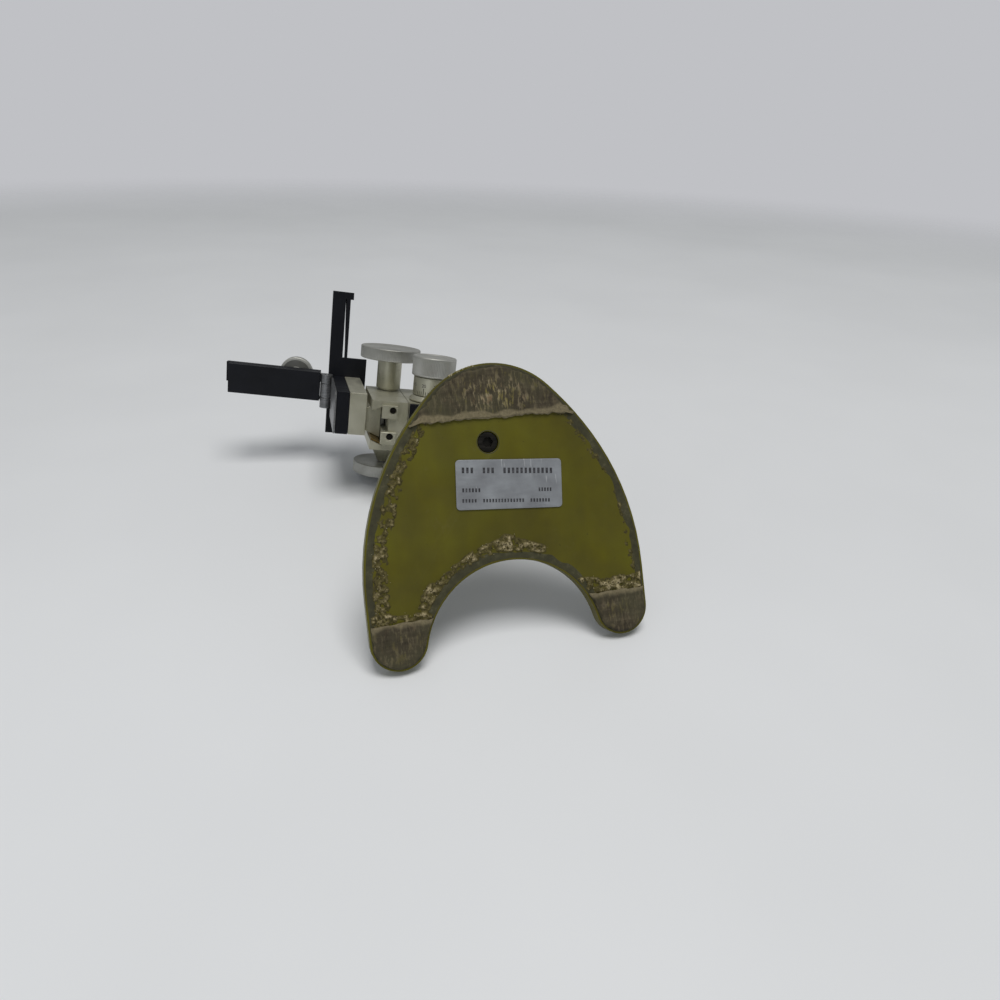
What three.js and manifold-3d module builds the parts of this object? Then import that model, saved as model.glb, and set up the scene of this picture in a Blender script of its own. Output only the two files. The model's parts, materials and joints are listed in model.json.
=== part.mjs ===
// Bench articulator stand: a horseshoe base, a swivelling column with a tilting head, a screw-fed fine
// slide, a rack-and-pinion coarse slide, a hinged clamp bar and a slotted upright.
// Millimetres, +Z up. The origin is on the standing face of the rear pad, on the base's centre line.
// The head is drawn in its own frame: x across towards the clamp bar, y along the two knob shafts,
// z along the column, all measured from the tilt pivot.
import * as THREE from 'three';
import { mergeVertices } from 'three/addons/utils/BufferGeometryUtils.js';
import Module from 'manifold-3d';

const wasm = await Module();
wasm.setup();

// ---- driving dimensions ----
const GAP = 0.3;                 // clearance between neighbouring pieces
const DEG = Math.PI / 180;

// base, measured from the column screw
const PAD_POINT = 20;            // rear pad's reference point behind the column screw
const SCREW_OFFSET = 3.3;        // column screw beside the base's centre line
const BASE_REAR = 32.7;          // rounded rear end
const BASE_HALF_WIDTH = 60.6;
const SIDE_Y = -60;              // where the sides run straight towards the feet
const CAP_R = 36;                // rear end's radius
const FOOT_R = 11.8;
const FOOT_Y = -76.7;
const NOTCH_Y = -88.2;           // centre of the notch between the feet
const PLATE_THICK = 6;
const PAD_THICK = 1.2;
const PAD_INSET = 0.6;
const REAR_PAD_Y = 8.6;          // front edge of the rear pad
const FOOT_PAD_Y = -68.6;        // rear edge of the foot pads
const BOSS_R = 15;
const BOSS_HEIGHT = 5;
const LABEL = { width: 46, height: 20.6, thick: 0.3, x: -4, y: -18.2, turn: 4.5, corner: 1.6 };

// screws
const TAP_R = 1.2;
const SMALL_HEAD_R = 1.6;
const END_SHANK_R = 1.5;
const END_HEAD_R = 2.6;
const END_HEAD_HEIGHT = 1.5;
const LEAF_SCREW_R = 2;
const ADAPTER_SCREW_R = 2.3;
const CAP_SUNK = 0.5;            // the column screw's head below the plate's underside
const CAP_SOCKET_DEPTH = 1.9;
const CAP_REACH = 8;             // its thread into the column

// column screw, a socket-head cap screw
const CAP_HEAD_R = 4.2;
const CAP_HEAD_HEIGHT = 4;
const CAP_SHANK_R = 2.5;
const CAP_SOCKET_R = 2.3;

// column and tilting joint
const COLUMN_R = 8;
const COLUMN_FOOT_R = 13.5;
const COLUMN_FOOT_HEIGHT = 5;
const PIVOT_HEIGHT = 61.5;        // tilt pivot above the standing face
const SWIVEL = 8.8;              // degrees the column is turned at rest
const LEAN = 18;                 // degrees the head leans back at rest
const TONGUE_R = 8.7;
const TONGUE_WIDTH = 10.4;
const EAR_THICK = 6;
const FORK_DEPTH = 18;
const TILT_BOLT_R = 3;
const TILT_KNOB_R = 10;
const ARM_R = 7;
const WASHER_THICK = 0.8;
const COLUMN_RIM = 1.5;          // flare under the fork
const FORK_BASE = 7;
const TILT_BOLT_HEAD = { r: 5.2, height: 3.5, slot: 1.2, slotDepth: 1.2 };
const TILT_KNOB = { neckR: 5.5, neck: 4, end: 14, edge: 1 };
const BOLT_REACH = 8;            // bolt into the tilt clamp knob

// slide bodies
const BODY_Z = 49.1;             // lower ends above the tilt pivot
const BODY_LENGTH = 47;
const BODY_HEIGHT = 27;
const FINE_X = 4.3;              // fine feed screw's axis
const FINE_WIDTH = 27.2;
const FINE_Z = BODY_Z + 11;
const FINE_TRAVEL = 4;           // each way
const COVER_THICK = 1.2;
const ADAPTER_THICK = 6;
const ADAPTER_X1 = 11;
const LOCKNUT = { r: 4.5, thick: 3.2, overrun: 4 };
const KNOB_HOLD = 6;             // spindle into the fine knob
const FINE_KNOB_EDGE = 0.6;
const SPINDLE_R = 2.5;
const THIMBLE_R = 10.6;
const THIMBLE_LENGTH = 10.2;
const FINE_KNOB_R = 11.9;
const FINE_KNOB_LENGTH = 10.7;
const COLLAR_R = 12.2;
const COLLAR_HEIGHT = 3;
const COARSE_WIDTH = 19.3;
const STOP_PLATE_THICK = 2.2;
const KNOB_WALL = 2;             // left over the end of a shaft in its knob
const DISC_EDGE = 0.5;
const PINION_INSET = 7;          // pinion axis from the coarse body's inner face
const PINION_Z = BODY_Z + 40;
const PINION_TEETH = 11;
const MODULE = 0.8;
const SHAFT_R = 2.5;
const BUSH_WALL = 1.3;
const SLEEVE_R = 6.9;
const UPPER_SLEEVE = 17.3;
const LOWER_SLEEVE = 15.5;
const LOWER_SLEEVE_TIP_R = 3.4;
const COARSE_KNOB_R = 17;
const COARSE_KNOB_THICK = 6.6;

// coarse slide and what it carries
const SLIDE_CLEAR = 2.3;         // coarse body to slide block
const SLIDE_THICK = 9.1;
const SLIDE_HEIGHT = 23;
const SLIDE_LENGTH = 56;
const SLIDE_BOTTOM = -7.8;       // slide block's lower side
const SLIDE_Z = BODY_Z + 8;
const TONGUE_SETBACK = 4;        // the dovetail starts this far up the slide block
const BACKING_THICK = 6.5;
const LEAF_THICK = 0.9;
const HINGE_R = 3.5;
const HINGE_PIN_R = 1.4;
const BAR_REST = -6.5;           // degrees the clamp bar is folded at rest
const BAR_GAP = 0.35;            // hinge barrel to bar
const BAR_LENGTH = 52.5;
const BAR_HEIGHT = 17;
const BAR_BOTTOM = 0.2;
const BAR_THICK = 5.5;
const BAR_LEAF_LENGTH = 10;
const RAIL_THICK = 4;
const RAIL_HEIGHT = 11.5;
const RAIL_OVERHANG = 2;
const CLAMP_KNOB_X = 19;         // from the hinge pin
const CLAMP_KNOB_R = 9.8;
const CLAMP_KNOB_THICK = 5;
const CLAMP_HUB_R = 4.2;
const CLAMP_HUB_HEIGHT = 2.2;
const CLAMP_SCREW_R = 2;
const UPRIGHT_THICK = 2.4;
const UPRIGHT_WIDTH = 7.6;
const UPRIGHT_BOTTOM = -20;
const UPRIGHT_TOP = 64.7;
const UPRIGHT_BRIDGE = 4;        // the slot is closed this far from the top
const UPRIGHT_TAB = 1.7;
const STRIP_WIDTH = 1.7;
const STRIP_SLOT = 1.1;
const UPRIGHT_ARM_TOP = 26.4;
const UPRIGHT_ARM_LENGTH = 14.4;

// ---- materials ----
function finish(color, roughness, metalness) {
  return new THREE.MeshStandardMaterial({ color, roughness, metalness });
}

const olivePaint = finish(0x5c5a24, 0.55, 0.1);
const satinMetal = finish(0xb9b7a8, 0.4, 0.8);
const greySteel = finish(0x8d8f8f, 0.4, 0.9);
const blackAnodise = finish(0x14161a, 0.45, 0.2);
const darkSteel = finish(0x2b2a28, 0.45, 0.8);
const brass = finish(0xa58a4c, 0.4, 0.9);
const padCork = finish(0x6b6048, 0.9, 0);
const foil = finish(0xa7a8a6, 0.4, 0.7);

// ---- solids ----
const [ALONG_X, ALONG_Y, ALONG_Z] = [[1, 0, 0], [0, 1, 0], [0, 0, 1]].map((v) => new THREE.Vector3(...v));
const AXES = {
  x: new THREE.Matrix4().makeBasis(ALONG_Y, ALONG_Z, ALONG_X),
  y: new THREE.Matrix4().makeBasis(ALONG_Z, ALONG_X, ALONG_Y),
  z: new THREE.Matrix4(),
};

function toSolid(geometry) {
  geometry.deleteAttribute('normal');
  geometry.deleteAttribute('uv');
  const merged = mergeVertices(geometry, 1e-4);
  const index = merged.index.array;
  const triangles = [];
  for (let i = 0; i < index.length; i += 3) {
    const [a, b, c] = [index[i], index[i + 1], index[i + 2]];
    if (a !== b && b !== c && a !== c) triangles.push(a, b, c);
  }
  return new wasm.Manifold(new wasm.Mesh({
    numProp: 3,
    vertProperties: new Float32Array(merged.attributes.position.array),
    triVerts: new Uint32Array(triangles),
  }));
}

function box(x0, x1, y0, y1, z0, z1) {
  const g = new THREE.BoxGeometry(x1 - x0, y1 - y0, z1 - z0);
  g.translate((x0 + x1) / 2, (y0 + y1) / 2, (z0 + z1) / 2);
  return toSolid(g);
}

// A prism along an axis. Its outline is in (y, z) for x, (z, x) for y and (x, y) for z.
function prism(axis, outline, from, to, curveSegments = 12) {
  const points = (list) => list.map(([u, v]) => new THREE.Vector2(u, v));
  const shape = outline instanceof THREE.Shape ? outline : new THREE.Shape(points(outline));
  const g = new THREE.ExtrudeGeometry(shape, { depth: to - from, bevelEnabled: false, curveSegments });
  g.translate(0, 0, from);
  g.applyMatrix4(AXES[axis]);
  return toSolid(g);
}

// A turned piece about an axis through centre, from a list of [radius, place along the axis].
function turned(axis, profile, centre, segments = 40) {
  const g = new THREE.LatheGeometry(profile.map(([r, a]) => new THREE.Vector2(r, a)), segments);
  g.applyMatrix4(new THREE.Matrix4().makeBasis(
    new THREE.Vector3(1, 0, 0), new THREE.Vector3(0, 0, 1), new THREE.Vector3(0, -1, 0)));
  g.applyMatrix4(AXES[axis]);
  const [u, v] = centre;
  const shift = { x: [0, u, v], y: [u, 0, v], z: [u, v, 0] }[axis];
  g.translate(...shift);
  return toSolid(g);
}

function rod(axis, r, from, to, centre, segments = 32) {
  return turned(axis, [[0, from], [r, from], [r, to], [0, to]], centre, segments);
}

function tube(axis, r, bore, from, to, centre, segments = 40) {
  return turned(axis, [[bore, from], [r, from], [r, to], [bore, to], [bore, from]], centre, segments);
}

function cut(solid, ...tools) {
  return tools.reduce((left, tool) => left.subtract(tool), solid);
}

function join(...solids) {
  return solids.reduce((sum, solid) => sum.add(solid));
}

function place(group, name, solid, material) {
  const m = solid.getMesh();
  const g = new THREE.BufferGeometry();
  const stride = m.numProp;
  const count = m.vertProperties.length / stride;
  const xyz = new Float32Array(count * 3);
  for (let i = 0; i < count; i++) {
    xyz.set(m.vertProperties.subarray(i * stride, i * stride + 3), i * 3);
  }
  g.setAttribute('position', new THREE.BufferAttribute(xyz, 3));
  g.setIndex(new THREE.BufferAttribute(new Uint32Array(m.triVerts), 1));
  g.computeVertexNormals();
  const mesh = new THREE.Mesh(g, material);
  mesh.name = name;
  group.add(mesh);
  return mesh;
}

// Places the solids of a set of like pieces, numbered from 1.
function placeEach(group, name, solids, material) {
  solids.forEach((solid, i) => place(group, `${name}_${i + 1}`, solid, material));
}

// ---- base ----
// The horseshoe outline, drawn inset from its edge: a round rear end, swept sides, round feet and a
// round notch that runs tangent into both feet.
function horseshoe(inset) {
  const footX = BASE_HALF_WIDTH - FOOT_R;
  const notchR = Math.hypot(footX, FOOT_Y - NOTCH_Y) - FOOT_R;
  const rise = Math.atan2(FOOT_Y - NOTCH_Y, footX);
  const capCentre = BASE_REAR - CAP_R;
  const capX = (CAP_R - inset) * Math.SQRT1_2;
  const capY = capCentre + capX;
  const half = BASE_HALF_WIDTH - inset;
  const sweep = 0.19 * (BASE_REAR - SIDE_Y);
  const drop = 0.41 * (BASE_REAR - SIDE_Y);
  const shape = new THREE.Shape();
  shape.absarc(0, capCentre, CAP_R - inset, Math.PI / 4, 3 * Math.PI / 4, false);
  shape.bezierCurveTo(-capX - sweep, capY - sweep, -half, SIDE_Y + drop, -half, SIDE_Y);
  shape.lineTo(-half, FOOT_Y);
  shape.absarc(-footX, FOOT_Y, FOOT_R - inset, Math.PI, 2 * Math.PI - rise, false);
  shape.absarc(0, NOTCH_Y, notchR + inset, Math.PI - rise, rise, true);
  shape.absarc(footX, FOOT_Y, FOOT_R - inset, Math.PI + rise, 2 * Math.PI, false);
  shape.lineTo(half, SIDE_Y);
  shape.bezierCurveTo(half, SIDE_Y + drop, capX + sweep, capY - sweep, capX, capY);
  return shape;
}

const BASE_Z = PAD_THICK + GAP;
const BOSS_TOP = BASE_Z + PLATE_THICK + BOSS_HEIGHT;
const SCREW_HEAD_Z = BASE_Z + CAP_SUNK;
const SCREW = [SCREW_OFFSET, 0];

function makeBase() {
  const group = new THREE.Group();
  group.position.set(0, -PAD_POINT, 0);
  const headRoom = SCREW_HEAD_Z + CAP_HEAD_HEIGHT + GAP;
  const plate = prism('z', horseshoe(0), BASE_Z, BASE_Z + PLATE_THICK, 14);
  const boss = rod('z', BOSS_R, BASE_Z + PLATE_THICK - 1, BOSS_TOP, SCREW, 48);
  place(group, 'base_plate', cut(
    join(plate, boss),
    rod('z', CAP_SHANK_R + GAP, BASE_Z - 1, BOSS_TOP + 1, SCREW),
    rod('z', CAP_HEAD_R + GAP, BASE_Z - 1, headRoom, SCREW),
  ), olivePaint);

  const reach = 2 * BASE_HALF_WIDTH;
  const pads = {
    rear_pad: [-reach, reach, REAR_PAD_Y, reach],
    left_foot_pad: [0, reach, -reach, FOOT_PAD_Y],
    right_foot_pad: [-reach, 0, -reach, FOOT_PAD_Y],
  };
  for (const [name, [x0, x1, y0, y1]] of Object.entries(pads)) {
    const sheet = prism('z', horseshoe(PAD_INSET), 0, PAD_THICK, 8);
    place(group, name, sheet.intersect(box(x0, x1, y0, y1, -1, PAD_THICK + 1)), padCork);
  }

  const { width, height, thick, corner } = LABEL;
  const [u, v] = [width / 2 - corner, height / 2 - corner];
  const card = new THREE.Shape();
  card.absarc(u, v, corner, 0, Math.PI / 2, false);
  card.absarc(-u, v, corner, Math.PI / 2, Math.PI, false);
  card.absarc(-u, -v, corner, Math.PI, 1.5 * Math.PI, false);
  card.absarc(u, -v, corner, 1.5 * Math.PI, 2 * Math.PI, false);
  const label = place(group, 'label_plate', prism('z', card, 0, thick, 4), foil);
  label.position.set(LABEL.x, LABEL.y, BASE_Z - GAP - thick);
  label.rotation.z = LABEL.turn * DEG;

  const socket = new THREE.Shape(Array.from({ length: 6 }, (_, i) => new THREE.Vector2(
    SCREW_OFFSET + CAP_SOCKET_R * Math.cos(i * Math.PI / 3),
    CAP_SOCKET_R * Math.sin(i * Math.PI / 3),
  )));
  place(group, 'column_screw', cut(
    join(
      rod('z', CAP_HEAD_R, SCREW_HEAD_Z, SCREW_HEAD_Z + CAP_HEAD_HEIGHT, SCREW),
      rod('z', CAP_SHANK_R, SCREW_HEAD_Z + 1, BOSS_TOP + COLUMN_FOOT_HEIGHT + CAP_REACH, SCREW),
    ),
    prism('z', socket, SCREW_HEAD_Z - 1, SCREW_HEAD_Z + CAP_SOCKET_DEPTH),
  ), darkSteel);
  return group;
}

// ---- column ----
const WASHER_Z = BOSS_TOP + GAP;
const COLUMN_Z = WASHER_Z + WASHER_THICK + GAP;
const COLUMN_SHOULDER = COLUMN_Z + COLUMN_FOOT_HEIGHT;
const TONGUE_HALF = TONGUE_WIDTH / 2;
const EAR_IN = TONGUE_HALF + GAP;
const EAR_OUT = EAR_IN + EAR_THICK;
const PIVOT = [0, PIVOT_HEIGHT];
const FORK_FLOOR = PIVOT_HEIGHT - TONGUE_R - GAP;
const FORK_Z = FORK_FLOOR - FORK_BASE;

function makeColumn() {
  const group = new THREE.Group();
  const bore = CAP_SHANK_R + GAP;
  const washer = tube('z', COLUMN_FOOT_R - 0.5, bore, WASHER_Z, WASHER_Z + WASHER_THICK, [0, 0]);
  place(group, 'swivel_washer', washer, brass);
  const topOfColumn = FORK_Z - GAP;
  place(group, 'column', cut(
    turned('z', [
      [0, COLUMN_Z], [COLUMN_FOOT_R, COLUMN_Z], [COLUMN_FOOT_R, COLUMN_SHOULDER],
      [COLUMN_R + 2, COLUMN_SHOULDER + 1], [COLUMN_R, COLUMN_SHOULDER + 4],
      [COLUMN_R, topOfColumn - COLUMN_RIM], [COLUMN_R + COLUMN_RIM, topOfColumn], [0, topOfColumn],
    ], [0, 0], 48),
    rod('z', bore, WASHER_Z - 1, COLUMN_SHOULDER + CAP_REACH + 2, [0, 0]),
  ), satinMetal);

  // a fork with round-topped ears either side of the arm's tongue
  const ear = new THREE.Shape();
  ear.moveTo(-FORK_DEPTH / 2, FORK_Z);
  ear.lineTo(FORK_DEPTH / 2, FORK_Z);
  ear.absarc(0, PIVOT_HEIGHT, FORK_DEPTH / 2, 0, Math.PI, false);
  const boltHole = rod('x', TILT_BOLT_R + GAP, -EAR_OUT - 1, EAR_OUT + 1, PIVOT);
  place(group, 'tilt_fork', cut(
    prism('x', ear, -EAR_OUT, EAR_OUT, 10),
    box(-EAR_IN, EAR_IN, -FORK_DEPTH, FORK_DEPTH, FORK_FLOOR, PIVOT_HEIGHT + FORK_DEPTH),
    boltHole,
  ), satinMetal);

  const head = EAR_OUT + GAP;
  const { r, height, slot, slotDepth } = TILT_BOLT_HEAD;
  place(group, 'tilt_bolt', cut(
    join(
      rod('x', TILT_BOLT_R, -head - BOLT_REACH, head + 1, PIVOT),
      rod('x', r, head, head + height, PIVOT),
    ),
    box(
      head + height - slotDepth, head + height + 1,
      -slot / 2, slot / 2,
      PIVOT_HEIGHT - r - 1, PIVOT_HEIGHT + r + 1,
    ),
  ), greySteel);

  const { neckR, neck, end, edge } = TILT_KNOB;
  place(group, 'tilt_clamp_knob', cut(
    turned('x', [
      [0, -head - end], [TILT_KNOB_R - edge, -head - end], [TILT_KNOB_R, -head - end + edge],
      [TILT_KNOB_R, -head - neck - edge], [TILT_KNOB_R - edge, -head - neck], [neckR, -head - neck],
      [neckR, -head], [0, -head],
    ], PIVOT),
    rod('x', TILT_BOLT_R + GAP, -head - BOLT_REACH - GAP, -head + 1, PIVOT),
  ), satinMetal);
  return group;
}

// ---- tilting arm and fine feed ----
const COVER_Z = BODY_Z - GAP - COVER_THICK;
const ADAPTER_Z = COVER_Z - GAP - ADAPTER_THICK;
const BODY_HALF = BODY_HEIGHT / 2;
const FINE_X0 = FINE_X - FINE_WIDTH / 2;
const FINE_X1 = FINE_X + FINE_WIDTH / 2;
const FINE_AXIS = [FINE_X, FINE_Z];
const NUT_HALF = 5;
const TENON_HALF = 5;            // half height of the coarse body's guide tenon
const POCKET_HALF = TENON_HALF + FINE_TRAVEL + 0.5;
const POCKET_Z0 = FINE_Z - NUT_HALF;
const POCKET_Z1 = BODY_Z + BODY_LENGTH - 6;
const COLLAR_Y = BODY_HALF + GAP;
const THIMBLE_Y = COLLAR_Y + COLLAR_HEIGHT + GAP;
const FINE_KNOB_Y = THIMBLE_Y + THIMBLE_LENGTH + GAP;

function makeArm() {
  const group = new THREE.Group();
  place(group, 'tilt_arm', cut(
    join(
      rod('x', TONGUE_R, -TONGUE_HALF, TONGUE_HALF, [0, 0], 40),
      box(-TONGUE_HALF, TONGUE_HALF, -ARM_R + 0.5, ARM_R - 0.5, 0, TONGUE_R + 4),
      turned('z', [
        [0, TONGUE_R + 2], [TONGUE_HALF, TONGUE_R + 2], [ARM_R, TONGUE_R + 5],
        [ARM_R, ADAPTER_Z - GAP], [0, ADAPTER_Z - GAP],
      ], [0, 0]),
    ),
    rod('x', TILT_BOLT_R + GAP, -TONGUE_WIDTH, TONGUE_WIDTH, [0, 0]),
  ), satinMetal);

  const adapter = { x0: FINE_X0 + 0.5, x1: ADAPTER_X1, half: BODY_HALF - 1.5 };
  const screws = [[adapter.x0 + 3.5, 3.5 - adapter.half], [adapter.x1 - 3.5, adapter.half - 3.5]];
  const screwSolids = (r, z0, z1) => screws.map((at) => rod('z', r, z0, z1, at, 20));
  place(group, 'adapter_plate', cut(
    box(adapter.x0, adapter.x1, -adapter.half, adapter.half, ADAPTER_Z, ADAPTER_Z + ADAPTER_THICK),
    ...screwSolids(ADAPTER_SCREW_R + GAP, ADAPTER_Z - 1, ADAPTER_Z + 2.9),
  ), satinMetal);
  const adapterScrews = screwSolids(ADAPTER_SCREW_R, ADAPTER_Z + 0.4, ADAPTER_Z + 2.6);
  placeEach(group, 'adapter_screw', adapterScrews, darkSteel);
  place(group, 'fine_body_cover', box(
    FINE_X0, FINE_X1 - GAP,
    GAP - BODY_HALF, BODY_HALF - GAP,
    COVER_Z, COVER_Z + COVER_THICK,
  ), blackAnodise);

  // the body holds the feed screw and has a pocket, open towards the coarse body, for its tenon and nut
  place(group, 'fine_body', cut(
    box(FINE_X0, FINE_X1, -BODY_HALF, BODY_HALF, BODY_Z, BODY_Z + BODY_LENGTH),
    box(
      FINE_X - NUT_HALF - GAP, FINE_X1 + 1,
      -POCKET_HALF, POCKET_HALF,
      POCKET_Z0 - GAP, POCKET_Z1 + GAP,
    ),
    rod('y', SPINDLE_R + GAP, -BODY_HALF - 1, BODY_HALF + 1, FINE_AXIS),
  ), satinMetal);
  place(group, 'fine_collar', turned('y', [
    [SPINDLE_R + GAP, COLLAR_Y], [COLLAR_R, COLLAR_Y], [THIMBLE_R + 0.4, COLLAR_Y + COLLAR_HEIGHT],
    [SPINDLE_R + GAP, COLLAR_Y + COLLAR_HEIGHT], [SPINDLE_R + GAP, COLLAR_Y],
  ], FINE_AXIS, 48), satinMetal);

  const spindleEnd = FINE_KNOB_Y + KNOB_HOLD;
  const spindle = rod('y', SPINDLE_R, -BODY_HALF - LOCKNUT.overrun, spindleEnd, FINE_AXIS, 24);
  place(group, 'fine_spindle', spindle, greySteel);
  place(group, 'spindle_locknut', cut(
    rod('y', LOCKNUT.r, -BODY_HALF - GAP - LOCKNUT.thick, -BODY_HALF - GAP, FINE_AXIS, 6),
    rod('y', SPINDLE_R + GAP, -BODY_HALF - LOCKNUT.overrun - 1, -BODY_HALF, FINE_AXIS, 24),
  ), brass);
  const thimbleEnd = THIMBLE_Y + THIMBLE_LENGTH;
  const thimble = tube('y', THIMBLE_R, SPINDLE_R + GAP, THIMBLE_Y, thimbleEnd, FINE_AXIS, 48);
  place(group, 'fine_thimble', thimble, satinMetal);
  const knobEnd = FINE_KNOB_Y + FINE_KNOB_LENGTH;
  place(group, 'fine_knob', cut(
    turned('y', [
      [0, FINE_KNOB_Y], [FINE_KNOB_R, FINE_KNOB_Y], [FINE_KNOB_R, knobEnd - FINE_KNOB_EDGE],
      [FINE_KNOB_R - FINE_KNOB_EDGE, knobEnd], [0, knobEnd],
    ], FINE_AXIS, 48),
    rod('y', SPINDLE_R + GAP, FINE_KNOB_Y - 1, spindleEnd + GAP, FINE_AXIS, 24),
  ), satinMetal);
  return group;
}

// ---- coarse body, rack and pinion ----
const COARSE_X0 = FINE_X1 + GAP;
const COARSE_X1 = COARSE_X0 + COARSE_WIDTH;
const PINION_X = COARSE_X0 + PINION_INSET;
const PINION_AXIS = [PINION_X, PINION_Z];
const PITCH = Math.PI * MODULE;
const PITCH_R = MODULE * PINION_TEETH / 2;
const TOOTH_TIP = 0.75 * MODULE;
const TOOTH_ROOT = 1.1 * MODULE;
const RACK_LINE = PINION_X + PITCH_R;
const RACK_HALF = 3;
const GUIDE_Y = SLIDE_BOTTOM + SLIDE_HEIGHT / 2 - 3.1;   // middle of the dovetail
const GUIDE_X = RACK_LINE + TOOTH_ROOT + 0.9;            // dovetail's inner face
const MOUTH_HALF = 7.2;
const FLANK = 0.43;              // dovetail's undercut for each millimetre of depth
const GIB_ROOM = 1.3;

// A dovetail's outline, widened by ease, from its inner face out past the body's face.
function dovetail(ease, inner, outer, extraBelow = 0) {
  const half = (x) => MOUTH_HALF + FLANK * (COARSE_X1 - x) + ease;
  return [
    [inner, GUIDE_Y - half(inner) - extraBelow], [outer, GUIDE_Y - half(outer) - extraBelow],
    [outer, GUIDE_Y + half(outer)], [inner, GUIDE_Y + half(inner)],
  ];
}

function makePinionShaft(group) {
  const outline = [];
  for (let i = 0; i < PINION_TEETH; i++) {
    const middle = Math.PI / 2 + i * 2 * Math.PI / PINION_TEETH;
    const root = PITCH_R - TOOTH_ROOT;
    const tip = PITCH_R + TOOTH_TIP;
    for (const [r, halfWidth] of [[root, 0.62], [PITCH_R, 0.4], [tip, 0.2]]) {
      outline.push([r, middle - halfWidth * MODULE / r * 1.2]);
    }
    for (const [r, halfWidth] of [[tip, 0.2], [PITCH_R, 0.4], [root, 0.62]]) {
      outline.push([r, middle + halfWidth * MODULE / r * 1.2]);
    }
  }
  const gear = outline.map(([r, a]) => [PINION_Z + r * Math.cos(a), PINION_X + r * Math.sin(a)]);
  place(group, 'pinion', cut(
    prism('y', gear, GUIDE_Y - RACK_HALF, GUIDE_Y + RACK_HALF),
    rod('y', SHAFT_R + GAP, GUIDE_Y - 2 * RACK_HALF, GUIDE_Y + 2 * RACK_HALF, PINION_AXIS, 20),
  ), brass);

  const y0 = BODY_HALF + GAP;
  const upperKnob = y0 + UPPER_SLEEVE + GAP;
  const lowerKnob = -y0 - LOWER_SLEEVE - GAP;
  const grip = COARSE_KNOB_THICK - KNOB_WALL;
  const shaft = rod('y', SHAFT_R, lowerKnob - grip, upperKnob + grip, PINION_AXIS, 24);
  place(group, 'pinion_shaft', shaft, greySteel);
  const sleeve = tube('y', SLEEVE_R, SHAFT_R + GAP, y0, y0 + UPPER_SLEEVE, PINION_AXIS);
  place(group, 'upper_sleeve', sleeve, satinMetal);
  place(group, 'lower_sleeve', turned('y', [
    [SHAFT_R + GAP, -y0 - LOWER_SLEEVE], [LOWER_SLEEVE_TIP_R, -y0 - LOWER_SLEEVE],
    [SLEEVE_R, -y0 - LOWER_SLEEVE / 2], [SLEEVE_R, -y0], [SHAFT_R + GAP, -y0],
    [SHAFT_R + GAP, -y0 - LOWER_SLEEVE],
  ], PINION_AXIS), satinMetal);
  const disc = (inner, outer) => {
    const rim = COARSE_KNOB_R - DISC_EDGE;
    const step = Math.sign(outer - inner) * DISC_EDGE;
    const profile = [
      [0, inner], [rim, inner], [COARSE_KNOB_R, inner + step],
      [COARSE_KNOB_R, outer - step], [rim, outer], [0, outer],
    ];
    return turned('y', inner < outer ? profile : profile.reverse(), PINION_AXIS, 48);
  };
  place(group, 'upper_coarse_knob', cut(
    disc(upperKnob, upperKnob + COARSE_KNOB_THICK),
    rod('y', SHAFT_R + GAP, upperKnob - 1, upperKnob + grip + GAP, PINION_AXIS, 24),
  ), satinMetal);
  place(group, 'lower_coarse_knob', cut(
    disc(lowerKnob, lowerKnob - COARSE_KNOB_THICK),
    rod('y', SHAFT_R + GAP, lowerKnob - grip - GAP, lowerKnob + 1, PINION_AXIS, 24),
  ), satinMetal);
}

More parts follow.
